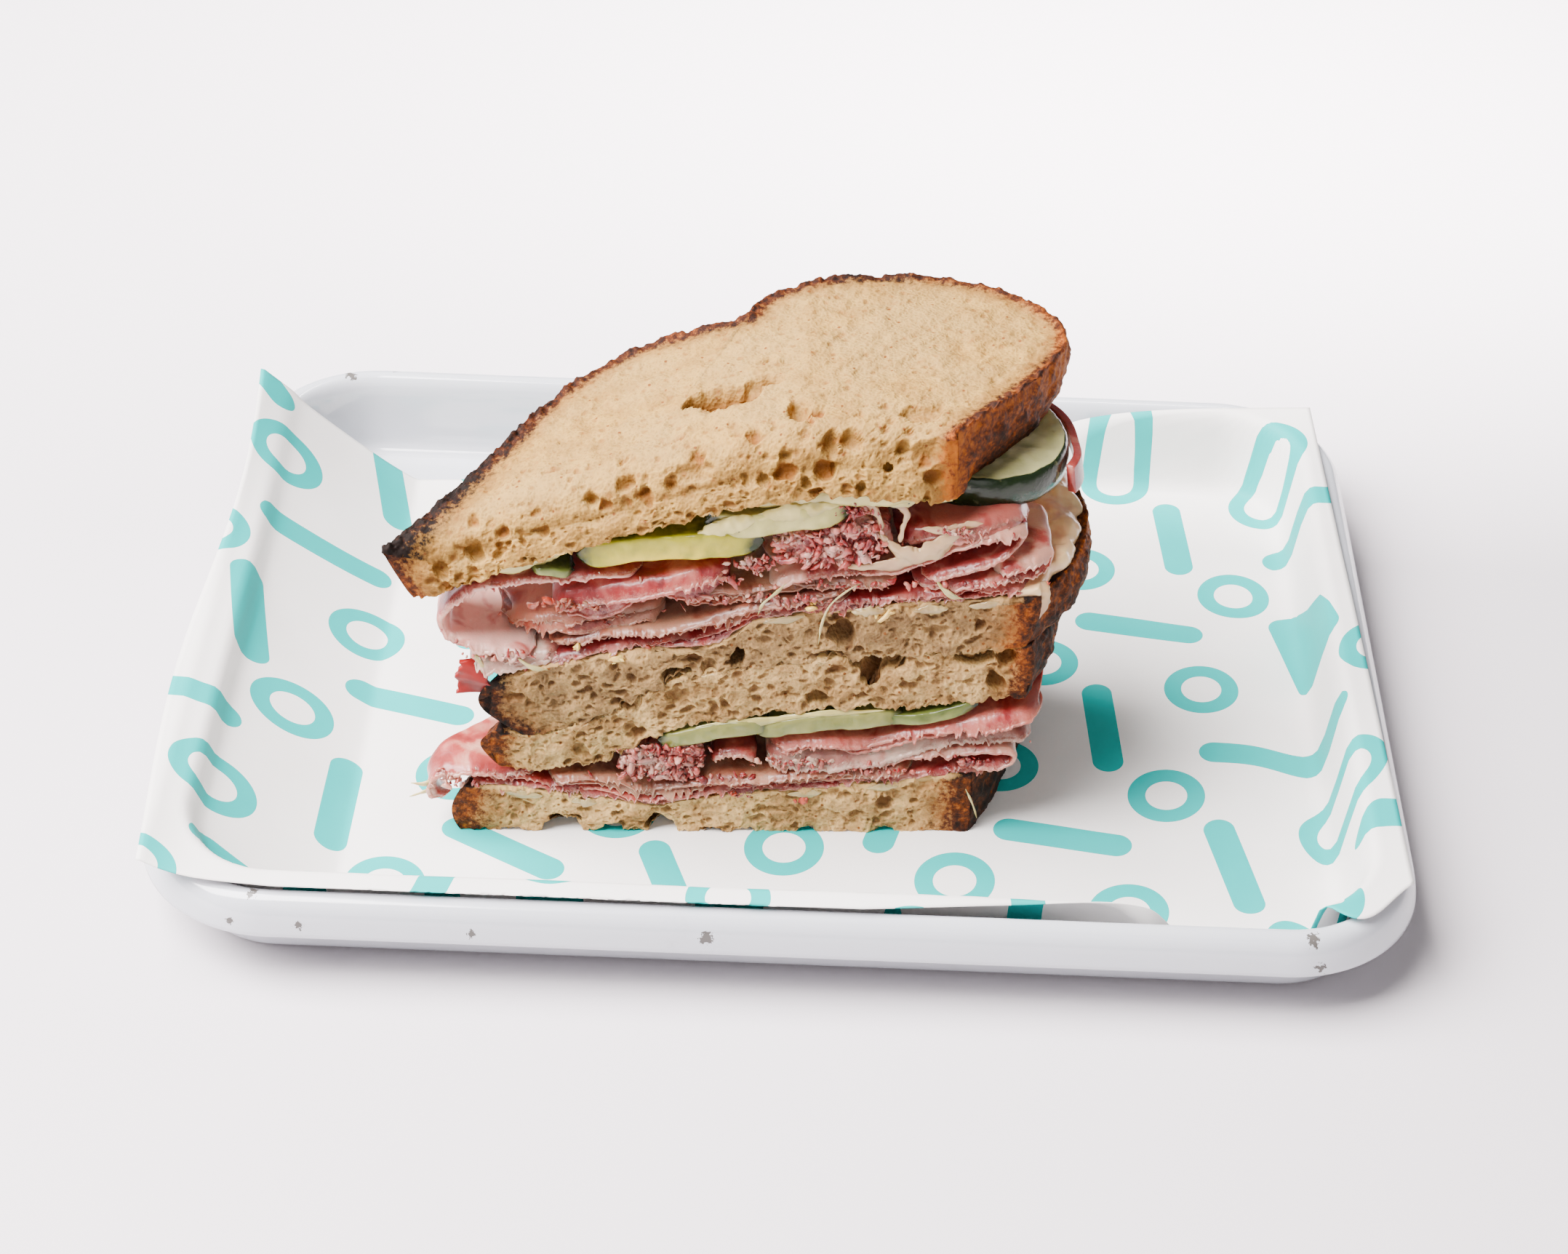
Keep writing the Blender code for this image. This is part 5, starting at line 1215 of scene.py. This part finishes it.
def smear(path, widths, thickness, seed):
    """A smear on the cut: a path of (x, y, z) points, half-widths along it, and a low rounded section that
    bulges to the front."""
    line = smooth_path(path, 16 * len(path))
    heading = headings(line)
    run = np.linspace(0, 1, len(line))[:, None]
    around = angles_round(20)
    ends = np.sqrt(np.clip(np.minimum(run, 1 - run) * 9, 0.02, 1))
    half = np.interp(run, np.linspace(0, 1, len(widths)), widths) * ends
    ring = np.stack(np.broadcast_arrays(run * 7, np.cos(around), np.sin(around)), axis=-1)
    slow, fast = lumps(ring, 0.9, seed, 2), lumps(line[:, None] + ring * 0.1, 0.3, seed + 1, 2)
    half = half * (1 + 0.40 * slow + 0.25 * fast)
    out = np.sin(around)
    out = np.where(out > 0, out, 0.35 * out) * thickness * ends * (1 + 0.3 * lumps(ring, 0.6, seed + 3))
    sideways = np.stack([-heading[:, 2], 0 * heading[:, 0], heading[:, 0]], axis=-1)
    sideways /= np.linalg.norm(sideways, axis=1)[:, None]
    points = line[:, None] + sideways[:, None] * (np.cos(around) * half)[..., None]
    points[..., 1] -= out
    return points, {}


def leek_strand(path, width, thickness, phase):
    """A shred of leek: a thin strip along a path of (x, y, z) points, tapering to its ends, its width waved
    by a sine."""
    line = smooth_path(path, 14)
    heading = headings(line)
    side = np.cross(heading, [0.3, -1.0, 0.2])
    side /= np.linalg.norm(side, axis=1)[:, None]
    out = np.cross(side, heading)
    run = np.linspace(0, 1, len(line))[:, None]
    around = angles_round(6)
    taper = np.clip(np.minimum(run, 1 - run) * 4, 0.25, 1) * (1 + 0.3 * np.sin(9 * run + phase))
    a = (np.cos(around) * width * taper)[..., None] * side[:, None]
    b = (np.sin(around) * thickness * taper)[..., None] * out[:, None]
    return line[:, None] + a + b, {}


def curl_place(u, v, w):
    """The ham edge that stands in an arc outside the whole gherkin slice, its radius and height waved by
    sines."""
    cx, cy, _ = WHOLE_GHERKIN["centre"]
    first, last = (math.radians(a) for a in CURL["angles"])
    angle = first + (last - first) * u
    radius = CURL["radius"] - 0.12 * w + v * CURL["thickness"] + 0.03 * np.sin(11 * u)
    low, high = CURL["heights"]
    top = high + 0.08 * np.sin(7 * u + 1) * w
    return cx + radius * np.cos(angle), cy + radius * np.sin(angle), low + (top - low) * w


def pepper_place(u, v, w):
    """The strip of roast pepper that hangs at the left crust of the upper half, its edges waved by sines."""
    low, high = PEPPER["heights"]
    left, right = (PEPPER[side][0] + (PEPPER[side][1] - PEPPER[side][0]) * u for side in ("left", "right"))
    x = left + (right - left) * v + 0.05 * np.sin(9 * u) + 0.03 * np.sin(23 * u + 2 * v)
    y = PEPPER["front"] + w * PEPPER["thickness"] + 0.06 * np.sin(5 * u + 3 * v)
    return x, y, low + (high - low) * u


# Smears of spread, by piece: path points, half-widths along the path, and thickness
SMEARS = {
    "aioli_smears": [
        ([(-0.50, -0.04, 9.72), (-0.1, -0.10, 9.96), (0.4, -0.14, 10.22), (1.0, -0.16, 10.42)],
         (0.10, 0.20, 0.24, 0.10), 0.08),
        ([(0.7, -0.12, 10.36), (1.4, -0.14, 10.50), (2.2, -0.12, 10.62), (3.0, -0.04, 10.78)],
         (0.08, 0.22, 0.24, 0.12), 0.08),
        ([(0.9, 0.0, 10.72), (1.8, -0.04, 10.86), (2.8, -0.04, 10.94), (3.8, -0.02, 10.92),
          (4.8, 0.04, 10.88)], (0.12, 0.18, 0.20, 0.18, 0.10), 0.07),
        ([(-5.3, 0.02, 8.62), (-4.7, 0.0, 8.86), (-4.0, 0.02, 9.14), (-3.4, 0.04, 9.34)],
         (0.10, 0.18, 0.16, 0.08), 0.07),
        ([(-0.9, 0.02, 3.46), (0.2, 0.0, 3.84), (1.2, 0.0, 3.96), (2.6, 0.0, 4.20), (4.4, 0.02, 4.34)],
         (0.07, 0.10, 0.10, 0.09, 0.05), 0.05),
    ],
    "thin_smears": [
        ([(8.15, 0.35, 8.25), (8.12, 0.22, 7.85), (8.02, 0.12, 7.35), (7.93, 0.05, 6.85)],
         (0.20, 0.17, 0.10, 0.04), 0.05),
        ([(4.20, 0.02, 9.66), (4.45, 0.0, 9.38), (4.9, -0.01, 9.22), (5.3, 0.0, 9.40), (5.7, 0.06, 9.70),
          (6.1, 0.14, 9.96)], (0.10, 0.20, 0.26, 0.24, 0.18, 0.08), 0.06),
        ([(4.9, -0.01, 9.18), (4.4, -0.01, 9.00), (3.8, 0.0, 8.90), (3.2, 0.04, 8.84)],
         (0.20, 0.15, 0.10, 0.05), 0.05),
        ([(3.52, 0.02, 10.82), (3.85, 0.04, 10.52), (4.0, 0.06, 10.22), (4.02, 0.08, 9.86),
          (4.22, 0.04, 9.56)], (0.18, 0.11, 0.06, 0.07, 0.10), 0.05),
        ([(4.4, 0.10, 10.82), (4.62, 0.08, 10.45), (4.55, 0.06, 10.05), (4.50, 0.02, 9.62)],
         (0.14, 0.07, 0.05, 0.10), 0.05),
        ([(5.0, 0.10, 9.98), (5.5, 0.04, 9.98), (6.0, 0.08, 10.10), (6.5, 0.10, 10.16)],
         (0.05, 0.10, 0.12, 0.05), 0.04),
    ],
    "butter_smears": [
        ([(1.2, 0.04, 7.10), (1.7, 0.02, 7.20), (2.3, 0.03, 7.32)], (0.05, 0.10, 0.05), 0.04),
        ([(3.4, 0.03, 7.48), (3.9, 0.0, 7.50), (4.3, 0.02, 7.54)], (0.05, 0.15, 0.06), 0.07),
        ([(4.9, 0.02, 7.54), (5.3, 0.0, 7.58), (5.8, 0.02, 7.62)], (0.05, 0.15, 0.06), 0.08),
        ([(6.3, 0.02, 7.68), (6.8, 0.0, 7.74), (7.3, 0.03, 7.80)], (0.06, 0.12, 0.06), 0.04),
        ([(-5.3, 0.03, 1.56), (-4.8, 0.0, 1.46), (-4.3, 0.02, 1.40)], (0.06, 0.13, 0.06), 0.05),
        ([(-3.6, 0.03, 1.26), (-3.2, 0.0, 1.20), (-2.9, 0.02, 1.18)], (0.05, 0.14, 0.06), 0.05),
        ([(2.0, 0.03, 1.50), (2.5, 0.0, 1.54), (2.9, 0.03, 1.60)], (0.05, 0.12, 0.05), 0.05),
        ([(4.0, 0.03, 1.74), (4.5, 0.0, 1.78), (4.9, 0.03, 1.86)], (0.05, 0.12, 0.05), 0.05),
    ],
}
# Small crumpled bits: centre and size
MUSTARD_LUMPS = [((-2.36, 0.0, 5.98), 0.17), ((2.42, 0.0, 7.62), 0.17), ((4.30, 0.0, 7.42), 0.20),
                 ((-3.35, 0.02, 6.30), 0.12)]
CHILLI_BITS = [((2.42, 0.0, 1.36), 0.15), ((1.62, 0.02, 9.38), 0.15), ((0.64, 0.0, 1.52), 0.10),
               ((-4.05, 0.05, 7.72), 0.16), ((-3.4, 0.05, 7.62), 0.10), ((8.22, 0.2, 8.30), 0.05),
               ((-1.60, 0.0, 6.32), 0.09), ((-0.5, 0.02, 2.98), 0.10)]
# Strands of leek: path points, half-width and half-thickness
LEEK_STRANDS = [
    ([(1.76, -0.04, 8.38), (1.50, -0.10, 8.10), (1.22, -0.10, 7.80), (1.10, -0.05, 7.42)], 0.045, 0.02),
    ([(3.60, -0.02, 8.40), (3.20, -0.10, 8.15), (2.85, -0.12, 7.75), (2.68, -0.14, 7.2), (2.62, -0.10, 6.55)],
     0.035, 0.02),
    ([(5.42, -0.02, 8.58), (5.60, -0.08, 8.30), (5.85, -0.10, 8.08), (6.15, -0.05, 7.96)], 0.06, 0.025),
    ([(5.48, -0.04, 8.40), (5.75, -0.12, 8.22), (6.0, -0.10, 8.02)], 0.04, 0.02),
    ([(-7.02, 0.1, 1.92), (-7.30, 0.0, 1.80), (-7.66, -0.02, 1.84)], 0.06, 0.03),
    ([(-7.05, 0.08, 1.60), (-7.40, 0.0, 1.50), (-7.72, 0.0, 1.36)], 0.05, 0.02),
    ([(6.60, 0.0, 1.74), (6.72, -0.05, 1.50), (6.86, -0.05, 1.12), (6.95, 0.0, 0.76)], 0.028, 0.02),
    ([(-5.92, -0.02, 6.10), (-5.72, -0.06, 5.74), (-5.66, -0.04, 5.40)], 0.07, 0.03),
    ([(-4.9, -0.03, 6.02), (-4.5, -0.08, 5.72), (-4.1, -0.06, 5.62)], 0.06, 0.03),
]


def bits(name, spots, finish, slot, seed):
    """Small crumpled bits, each at a spot of its own size."""
    rng = np.random.default_rng(seed)
    skins = []
    for centre, size in spots:
        body = flake(np.array(centre), size, seed, rng)
        skins.append((body, {}))
        for k in range(3):
            nearby = np.array(centre) + rng.normal(scale=size * 0.7, size=3) * [1, 0.3, 0.7]
            skins.append((flake(nearby, size * rng.uniform(0.3, 0.6), seed + k, rng), {}))
    return food_piece(name, skins, finish, slot)


# Tray and paper

# The middle of the tray's corner arcs, and the points on an arc and on a side between two
ARC_MIDDLE = np.array([TRAY_LENGTH / 2 - TRAY_CORNER, TRAY_WIDTH / 2 - TRAY_CORNER])
PER_CORNER = 26
PER_SIDE = 12


def rounded_outline(inset):
    """Points round the tray's outline, set in by an amount in metres: quarter circles joined by lines."""
    radius = TRAY_CORNER - inset
    turns = np.linspace(0, math.pi / 2, PER_CORNER)
    arcs = []
    for corner, (sx, sy) in enumerate(((1, 1), (-1, 1), (-1, -1), (1, -1))):
        angle = turns + corner * math.pi / 2
        arcs.append(ARC_MIDDLE * (sx, sy) + np.column_stack([np.cos(angle), np.sin(angle)]) * radius)
    points = []
    for arc, following in zip(arcs, arcs[1:] + arcs[:1]):
        steps = np.linspace(0, 1, PER_SIDE + 2)[1:-1, None]
        points += [arc, arc[-1] + (following[0] - arc[-1]) * steps]
    return np.concatenate(points)


def tray_skin():
    """The tray: its profile's upper line from the middle out to the rim's lower edge, then the same line
    moved one steel thickness along its normal and back, each point carried round the outline."""
    wall = smooth_path(TRAY_WALL, 46)[::-1]
    upper = np.column_stack([wall[:, 0] * CM, TRAY_STEEL + (TRAY_HEIGHT - TRAY_STEEL) * wall[:, 1]])
    heading = headings(upper)
    lower = upper + np.column_stack([-heading[:, 1], heading[:, 0]]) * TRAY_STEEL * 0.92
    lower[:, 1] = np.maximum(lower[:, 1], 0)
    edge = (upper[-1] + lower[-1]) / 2 + heading[-1] * TRAY_STEEL * 0.4
    profile = np.vstack([upper, edge, lower[::-1]])
    rings = []
    for inset, height in profile:
        ring = rounded_outline(max(inset, 0.0))
        rings.append(np.column_stack([ring, np.full(len(ring), height)]))
    shrink = [0.92, 0.7, 0.4, 0.1]
    top = [rings[0] * (s, s, 1) for s in shrink[::-1]]
    bottom = [rings[-1] * (s, s, 1) for s in shrink]
    return np.array(top + rings + bottom)


def tray_height(x, y, early=0.0):
    """Height of the tray's upper face at a distance inside its rounded outline, less an early start."""
    out_x, out_y = np.abs(x) - ARC_MIDDLE[0], np.abs(y) - ARC_MIDDLE[1]
    inset = TRAY_CORNER - np.hypot(np.maximum(out_x, 0), np.maximum(out_y, 0))
    inset = inset - np.minimum(np.maximum(out_x, out_y), 0)
    wall = smooth_path(TRAY_WALL, 60)
    share = np.interp(np.maximum((inset - early) / CM, 0.50), wall[:, 0], wall[:, 1])
    return TRAY_STEEL + (TRAY_HEIGHT - TRAY_STEEL) * share


def paper_height(x, y):
    """Height of the paper: on the tray, or above it where it bridges to the left rim."""
    far = np.clip((y + 0.01) / 0.10, 0, 1)
    along = np.clip((BRIDGE_START - x) / BRIDGE_LENGTH, 0, 1)
    bridge = TRAY_STEEL + (BRIDGE_RISE[0] + BRIDGE_RISE[1] * far ** 2) * along ** 1.15
    lying = tray_height(x, y, PAPER_EARLY)
    return PAPER_GAP + PAPER_SPRING * lying / TRAY_HEIGHT + (bridge ** 8 + lying ** 8) ** 0.125


def paper_sheet(finish):
    """The liner: a grid between its four corners, bowed at the front by a parabola and waved at the left by a
    fading sine, draped on the tray's height with soft dents, and turned into a thin closed sheet by a
    Solidify modifier."""
    cols, rows = PAPER_GRID
    u, v = np.meshgrid(np.linspace(0, 1, cols), np.linspace(0, 1, rows), indexing="ij")
    near_left, near_right, far_right, far_left = (np.array(c) for c in PAPER_CORNERS)
    near = near_left + (near_right - near_left) * u[..., None]
    far = far_left + (far_right - far_left) * u[..., None]
    spot = near + (far - near) * v[..., None]
    wave = PAPER_WAVE * np.sin(v * 6.5 - 0.8) * np.exp(-u * 14)
    tuck = PAPER_TUCK * np.exp(-((u - 0.955) / 0.035) ** 2)
    bow = (PAPER_BOW * (1 - (2 * u - 1) ** 2) + tuck) * (1 - v) ** 2
    x = spot[..., 0] - wave
    y = np.maximum(spot[..., 1] - bow, PAPER_FRONT)
    flat = np.stack([x, y, 0 * x], axis=-1)
    z = paper_height(x, y) + PAPER_DENT * (1 + lumps(flat, 0.05, 90, 2))
    points = np.stack([x, y, z + PAPER_LIFT], axis=-1)
    index = np.arange(cols * rows).reshape(cols, rows)
    quads = np.stack([index[:-1, :-1], index[1:, :-1], index[1:, 1:], index[:-1, 1:]], axis=-1).reshape(-1, 4)
    mesh = bpy.data.meshes.new("paper_liner_sheet")
    mesh.from_pydata(points.reshape(-1, 3).tolist(), [], quads.tolist())
    mesh.shade_smooth()
    layer = mesh.uv_layers.new(name="sheet")
    corners = np.zeros(len(mesh.loops), np.int32)
    mesh.loops.foreach_get("vertex_index", corners)
    on_sheet = np.stack([u, v], axis=-1).reshape(-1, 2)[corners] * np.array(PAPER_FLAT)
    layer.data.foreach_set("uv", on_sheet.astype(np.float32).ravel())
    mesh.materials.append(finish)
    made = stand("paper_liner_sheet", mesh)
    thick = made.modifiers.new("sheet", "SOLIDIFY")
    thick.thickness = PAPER_SHEET
    thick.offset = 0
    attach(made, "root")
    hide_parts("paper_liner")
    return made


# Camera, light and floor

# The camera's angles in degrees, its distance and target in metres, its lens and sensor in millimetres
VIEW_AZIMUTH = 0.210
VIEW_ELEVATION = 37.924
VIEW_ROLL = 2.124
VIEW_DISTANCE = 0.8995
VIEW_TARGET = (-0.0015, 0.0303, 0.0)
LENS = 72.9
SENSOR = 36.0


def camera():
    """The camera at the photograph's angle: turned about the target, raised, and rolled."""
    az, el, roll = (math.radians(a) for a in (VIEW_AZIMUTH, VIEW_ELEVATION, VIEW_ROLL))
    back = np.array([math.sin(az) * math.cos(el), -math.cos(az) * math.cos(el), math.sin(el)])
    level_right = np.array([math.cos(az), math.sin(az), 0.0])
    level_up = np.cross(back, level_right)
    right = level_right * math.cos(roll) + level_up * math.sin(roll)
    up = np.cross(back, right)
    data = bpy.data.cameras.new("camera")
    data.lens = LENS
    data.sensor_width = SENSOR
    data.clip_start = 0.01
    made = stand("camera", data)
    eye = np.array(VIEW_TARGET) + back * VIEW_DISTANCE
    columns = np.column_stack([right, up, back, eye])
    made.matrix_world = Matrix([list(row) for row in columns] + [[0, 0, 0, 1]])
    bpy.context.scene.camera = made


def softbox(name, place, aim, size, power, colour="#fffafa"):
    """A square studio light at a place, turned to face a point."""
    data = bpy.data.lights.new(name, "AREA")
    data.size = size
    data.energy = power
    data.color = linear(colour)[:3]
    made = stand(name, data)
    made.location = place
    made.rotation_euler = (Vector(aim) - Vector(place)).to_track_quat("-Z", "Y").to_euler()


def studio():
    """A pale floor under three soft lights: the key from the left, a weak fill from the front, and one on the
    ground behind."""
    finish = plain_finish("matt_white_table", "#d3cdd1", "#d1cbcf", 400, 0.8)
    mesh = bpy.data.meshes.new("floor")
    mesh.from_pydata([(-3, -3, 0), (3, -3, 0), (3, 5, 0), (-3, 5, 0)], [], [(0, 1, 2, 3)])
    mesh.materials.append(finish)
    floor = stand("floor", mesh)
    world = bpy.data.worlds.new("studio")
    world.use_nodes = True
    background = world.node_tree.nodes["Background"]
    background.inputs["Color"].default_value = linear("#fbf9fa")
    background.inputs["Strength"].default_value = 0.30
    bpy.context.scene.world = world
    softbox("key", (-0.72, -0.12, 1.08), (0.0, 0.0, 0.04), 1.10, 146.0)
    softbox("fill", (0.1, -1.4, 0.7), (0.0, 0.0, 0.04), 1.0, 6.0)
    softbox("ground behind", (0.17, 0.25, 0.45), (0.17, 1.0, 0.15), 0.45, 34.0)


# Everything put together

camera()
studio()

# Crumbs by slice, each with light and dark tones, the painted shade inside its pores, and the painted top
# light where its face looks up; the slice under the ham's overhang gets a darker copy, partly moist crumb and
# partly painted shade
SOURDOUGH_LOWER = bread_finish("sourdough_crumb_lower", "#bc9862", "#8e6b40", "#6b4929", "#b8985f")
SOURDOUGH_FINISHES = {
    "bread_lower_bottom": SOURDOUGH_LOWER,
    "bread_lower_top": SOURDOUGH_LOWER,
    "bread_upper_bottom": bread_finish("sourdough_crumb_moist_and_painted_shade", "#9f7e50", "#745838", "#573a20", "#9a7c52"),
    "bread_upper_top": bread_finish("sourdough_crumb", "#a07c3e", "#84612d", "#75481c", "#9a7c48"),
}
HAM_FINISHES = {
    "rose": ham_finish("cooked_ham_rose", "#881e1f", "#621214", "#b27664", "#ac5c50"),
    "pale": ham_finish("cooked_ham_pale", "#9a4039", "#7e2a27", "#ba8c78", "#c08c78"),
    "beige": ham_finish("cooked_ham_beige", "#7e4834", "#642e26", "#986f58", "#9e7058"),
    "fat": ham_finish("ham_fat", "#a87264", "#8c4c44", "#b89a88", "#bd9a88"),
    "smoked": ham_finish("cooked_ham_smoked", "#842f1a", "#5c1912", "#9c6c52", "#a46650"),
    "fold": ham_finish("cooked_ham_fold", "#aa564e", "#8c2f30", "#bc8c7a", "#d8a89a"),
    "shredded": ham_finish("shredded_ham", "#ac5048", "#7c2626", "#c49c84", "#c4887a"),
}
GHERKIN_FINISHES = {
    "flesh": gherkin_finish("gherkin_flesh", "#d0b92c", "#8f8a14", "#232a0c"),
    "creamed": gherkin_finish("gherkin_creamed", "#938e56", "#77763c", "#2f3818"),
    "veiled": gherkin_finish("gherkin_veiled", "#c0b474", "#a09850", "#2a3416"),
    "dark": gherkin_finish("gherkin_dark", "#8b8f4c", "#4d5724", "#1a2110"),
    "whole": gherkin_finish("gherkin_whole", "#e6d8a8", "#a8a672", "#16240f"),
}
aioli = spread_finish("aioli", "#d0bf74", "#aa9a52", "#3a3a32", 0.055)
thin_aioli = spread_finish("thin_aioli", "#b8966a", "#a67c5c", "#3a3a32", 0.045)
pink_spread = spread_finish("chilli_mayonnaise", "#f0cc94", "#dca47c", "#9c4a2c", 0.03)
butter = spread_finish("butter_smear", "#a68e5c", "#8a7044", "#8c5c2a", 0.03)
mustard = plain_finish("mustard_lump", "#e6c270", "#d2a548", 3, 0.35, Subsurface_Weight=0.2,
                       Subsurface_Scale=0.002)
chilli = plain_finish("red_chilli_bits", "#b8482e", "#8c2f20", 2, 0.3)
leek = plain_finish("leek_strands", "#bdb07c", "#9c8e52", 4, 0.35, Subsurface_Weight=0.3,
                    Subsurface_Scale=0.002)
pepper_skin = plain_finish("roast_pepper_skin", "#8c0c08", "#640806", 5, 0.40, Specular_IOR_Level=0.3)

# Each piece has a seed of its own, so that its noise is the same in every run
piece("tray_enamel", *loops_mesh(tray_skin()), enamel_finish(), "enamel", "tray")
paper_sheet(paper_finish())
for number, (slice_name, spec) in enumerate(BREAD.items()):
    bread_slice(slice_name, spec, 100 * number + 3, SOURDOUGH_FINISHES[slice_name])
for number, (sheet_name, spec) in enumerate(HAM.items()):
    ham_slice(sheet_name, spec, 1000 + 97 * number, HAM_FINISHES[spec["finish"]])
for number, (heap_name, spec) in enumerate(CHUNKS.items()):
    ham_heap(heap_name, spec, 3000 + 400 * number, HAM_FINISHES["shredded"])
for number, (chip_name, spec) in enumerate(CUT_GHERKINS.items()):
    cut_gherkin(chip_name, spec, 5000 + 10 * number, GHERKIN_FINISHES[spec[3]])
for number, (finish, spots) in enumerate(SHREDS.items()):
    loose_shreds(finish, spots, 4000 + 500 * number)
whole_gherkin("gherkin_upper_4", GHERKIN_FINISHES["whole"])
shown_spread("spread_upper", pink_spread)
for number, (smear_name, spec) in enumerate(SPREADS.items()):
    clinging_spread(smear_name, spec, 6000 + 10 * number, aioli)
curl_loops = block_loops(curl_place, 60, (4, 12))
curl_masks = {mask: np.full(curl_loops.shape[:2], value) for mask, value in (("cut", 0.0), ("tone", 0.4))}
food_piece("ham_upper_curl_meat", [(curl_loops, curl_masks)], HAM_FINISHES["pale"], "ham", "ham_upper_curl")
pepper_loops = block_loops(pepper_place, 50, (12, 4))
food_piece("pepper_upper_strip", [(pepper_loops, {})], pepper_skin, "pepper", "pepper_upper")
for (smears_name, rows), finish, seed in zip(SMEARS.items(), (aioli, thin_aioli, butter), (40, 80, 60)):
    food_piece(smears_name, [smear(*row, seed + k) for k, row in enumerate(rows)], finish, "aioli")
bits("mustard_lumps", MUSTARD_LUMPS, mustard, "aioli", 11)
bits("chilli_bits", CHILLI_BITS, chilli, "pepper", 12)
food_piece("leek_strands", [leek_strand(*row, k) for k, row in enumerate(LEEK_STRANDS)], leek, "gherkin")
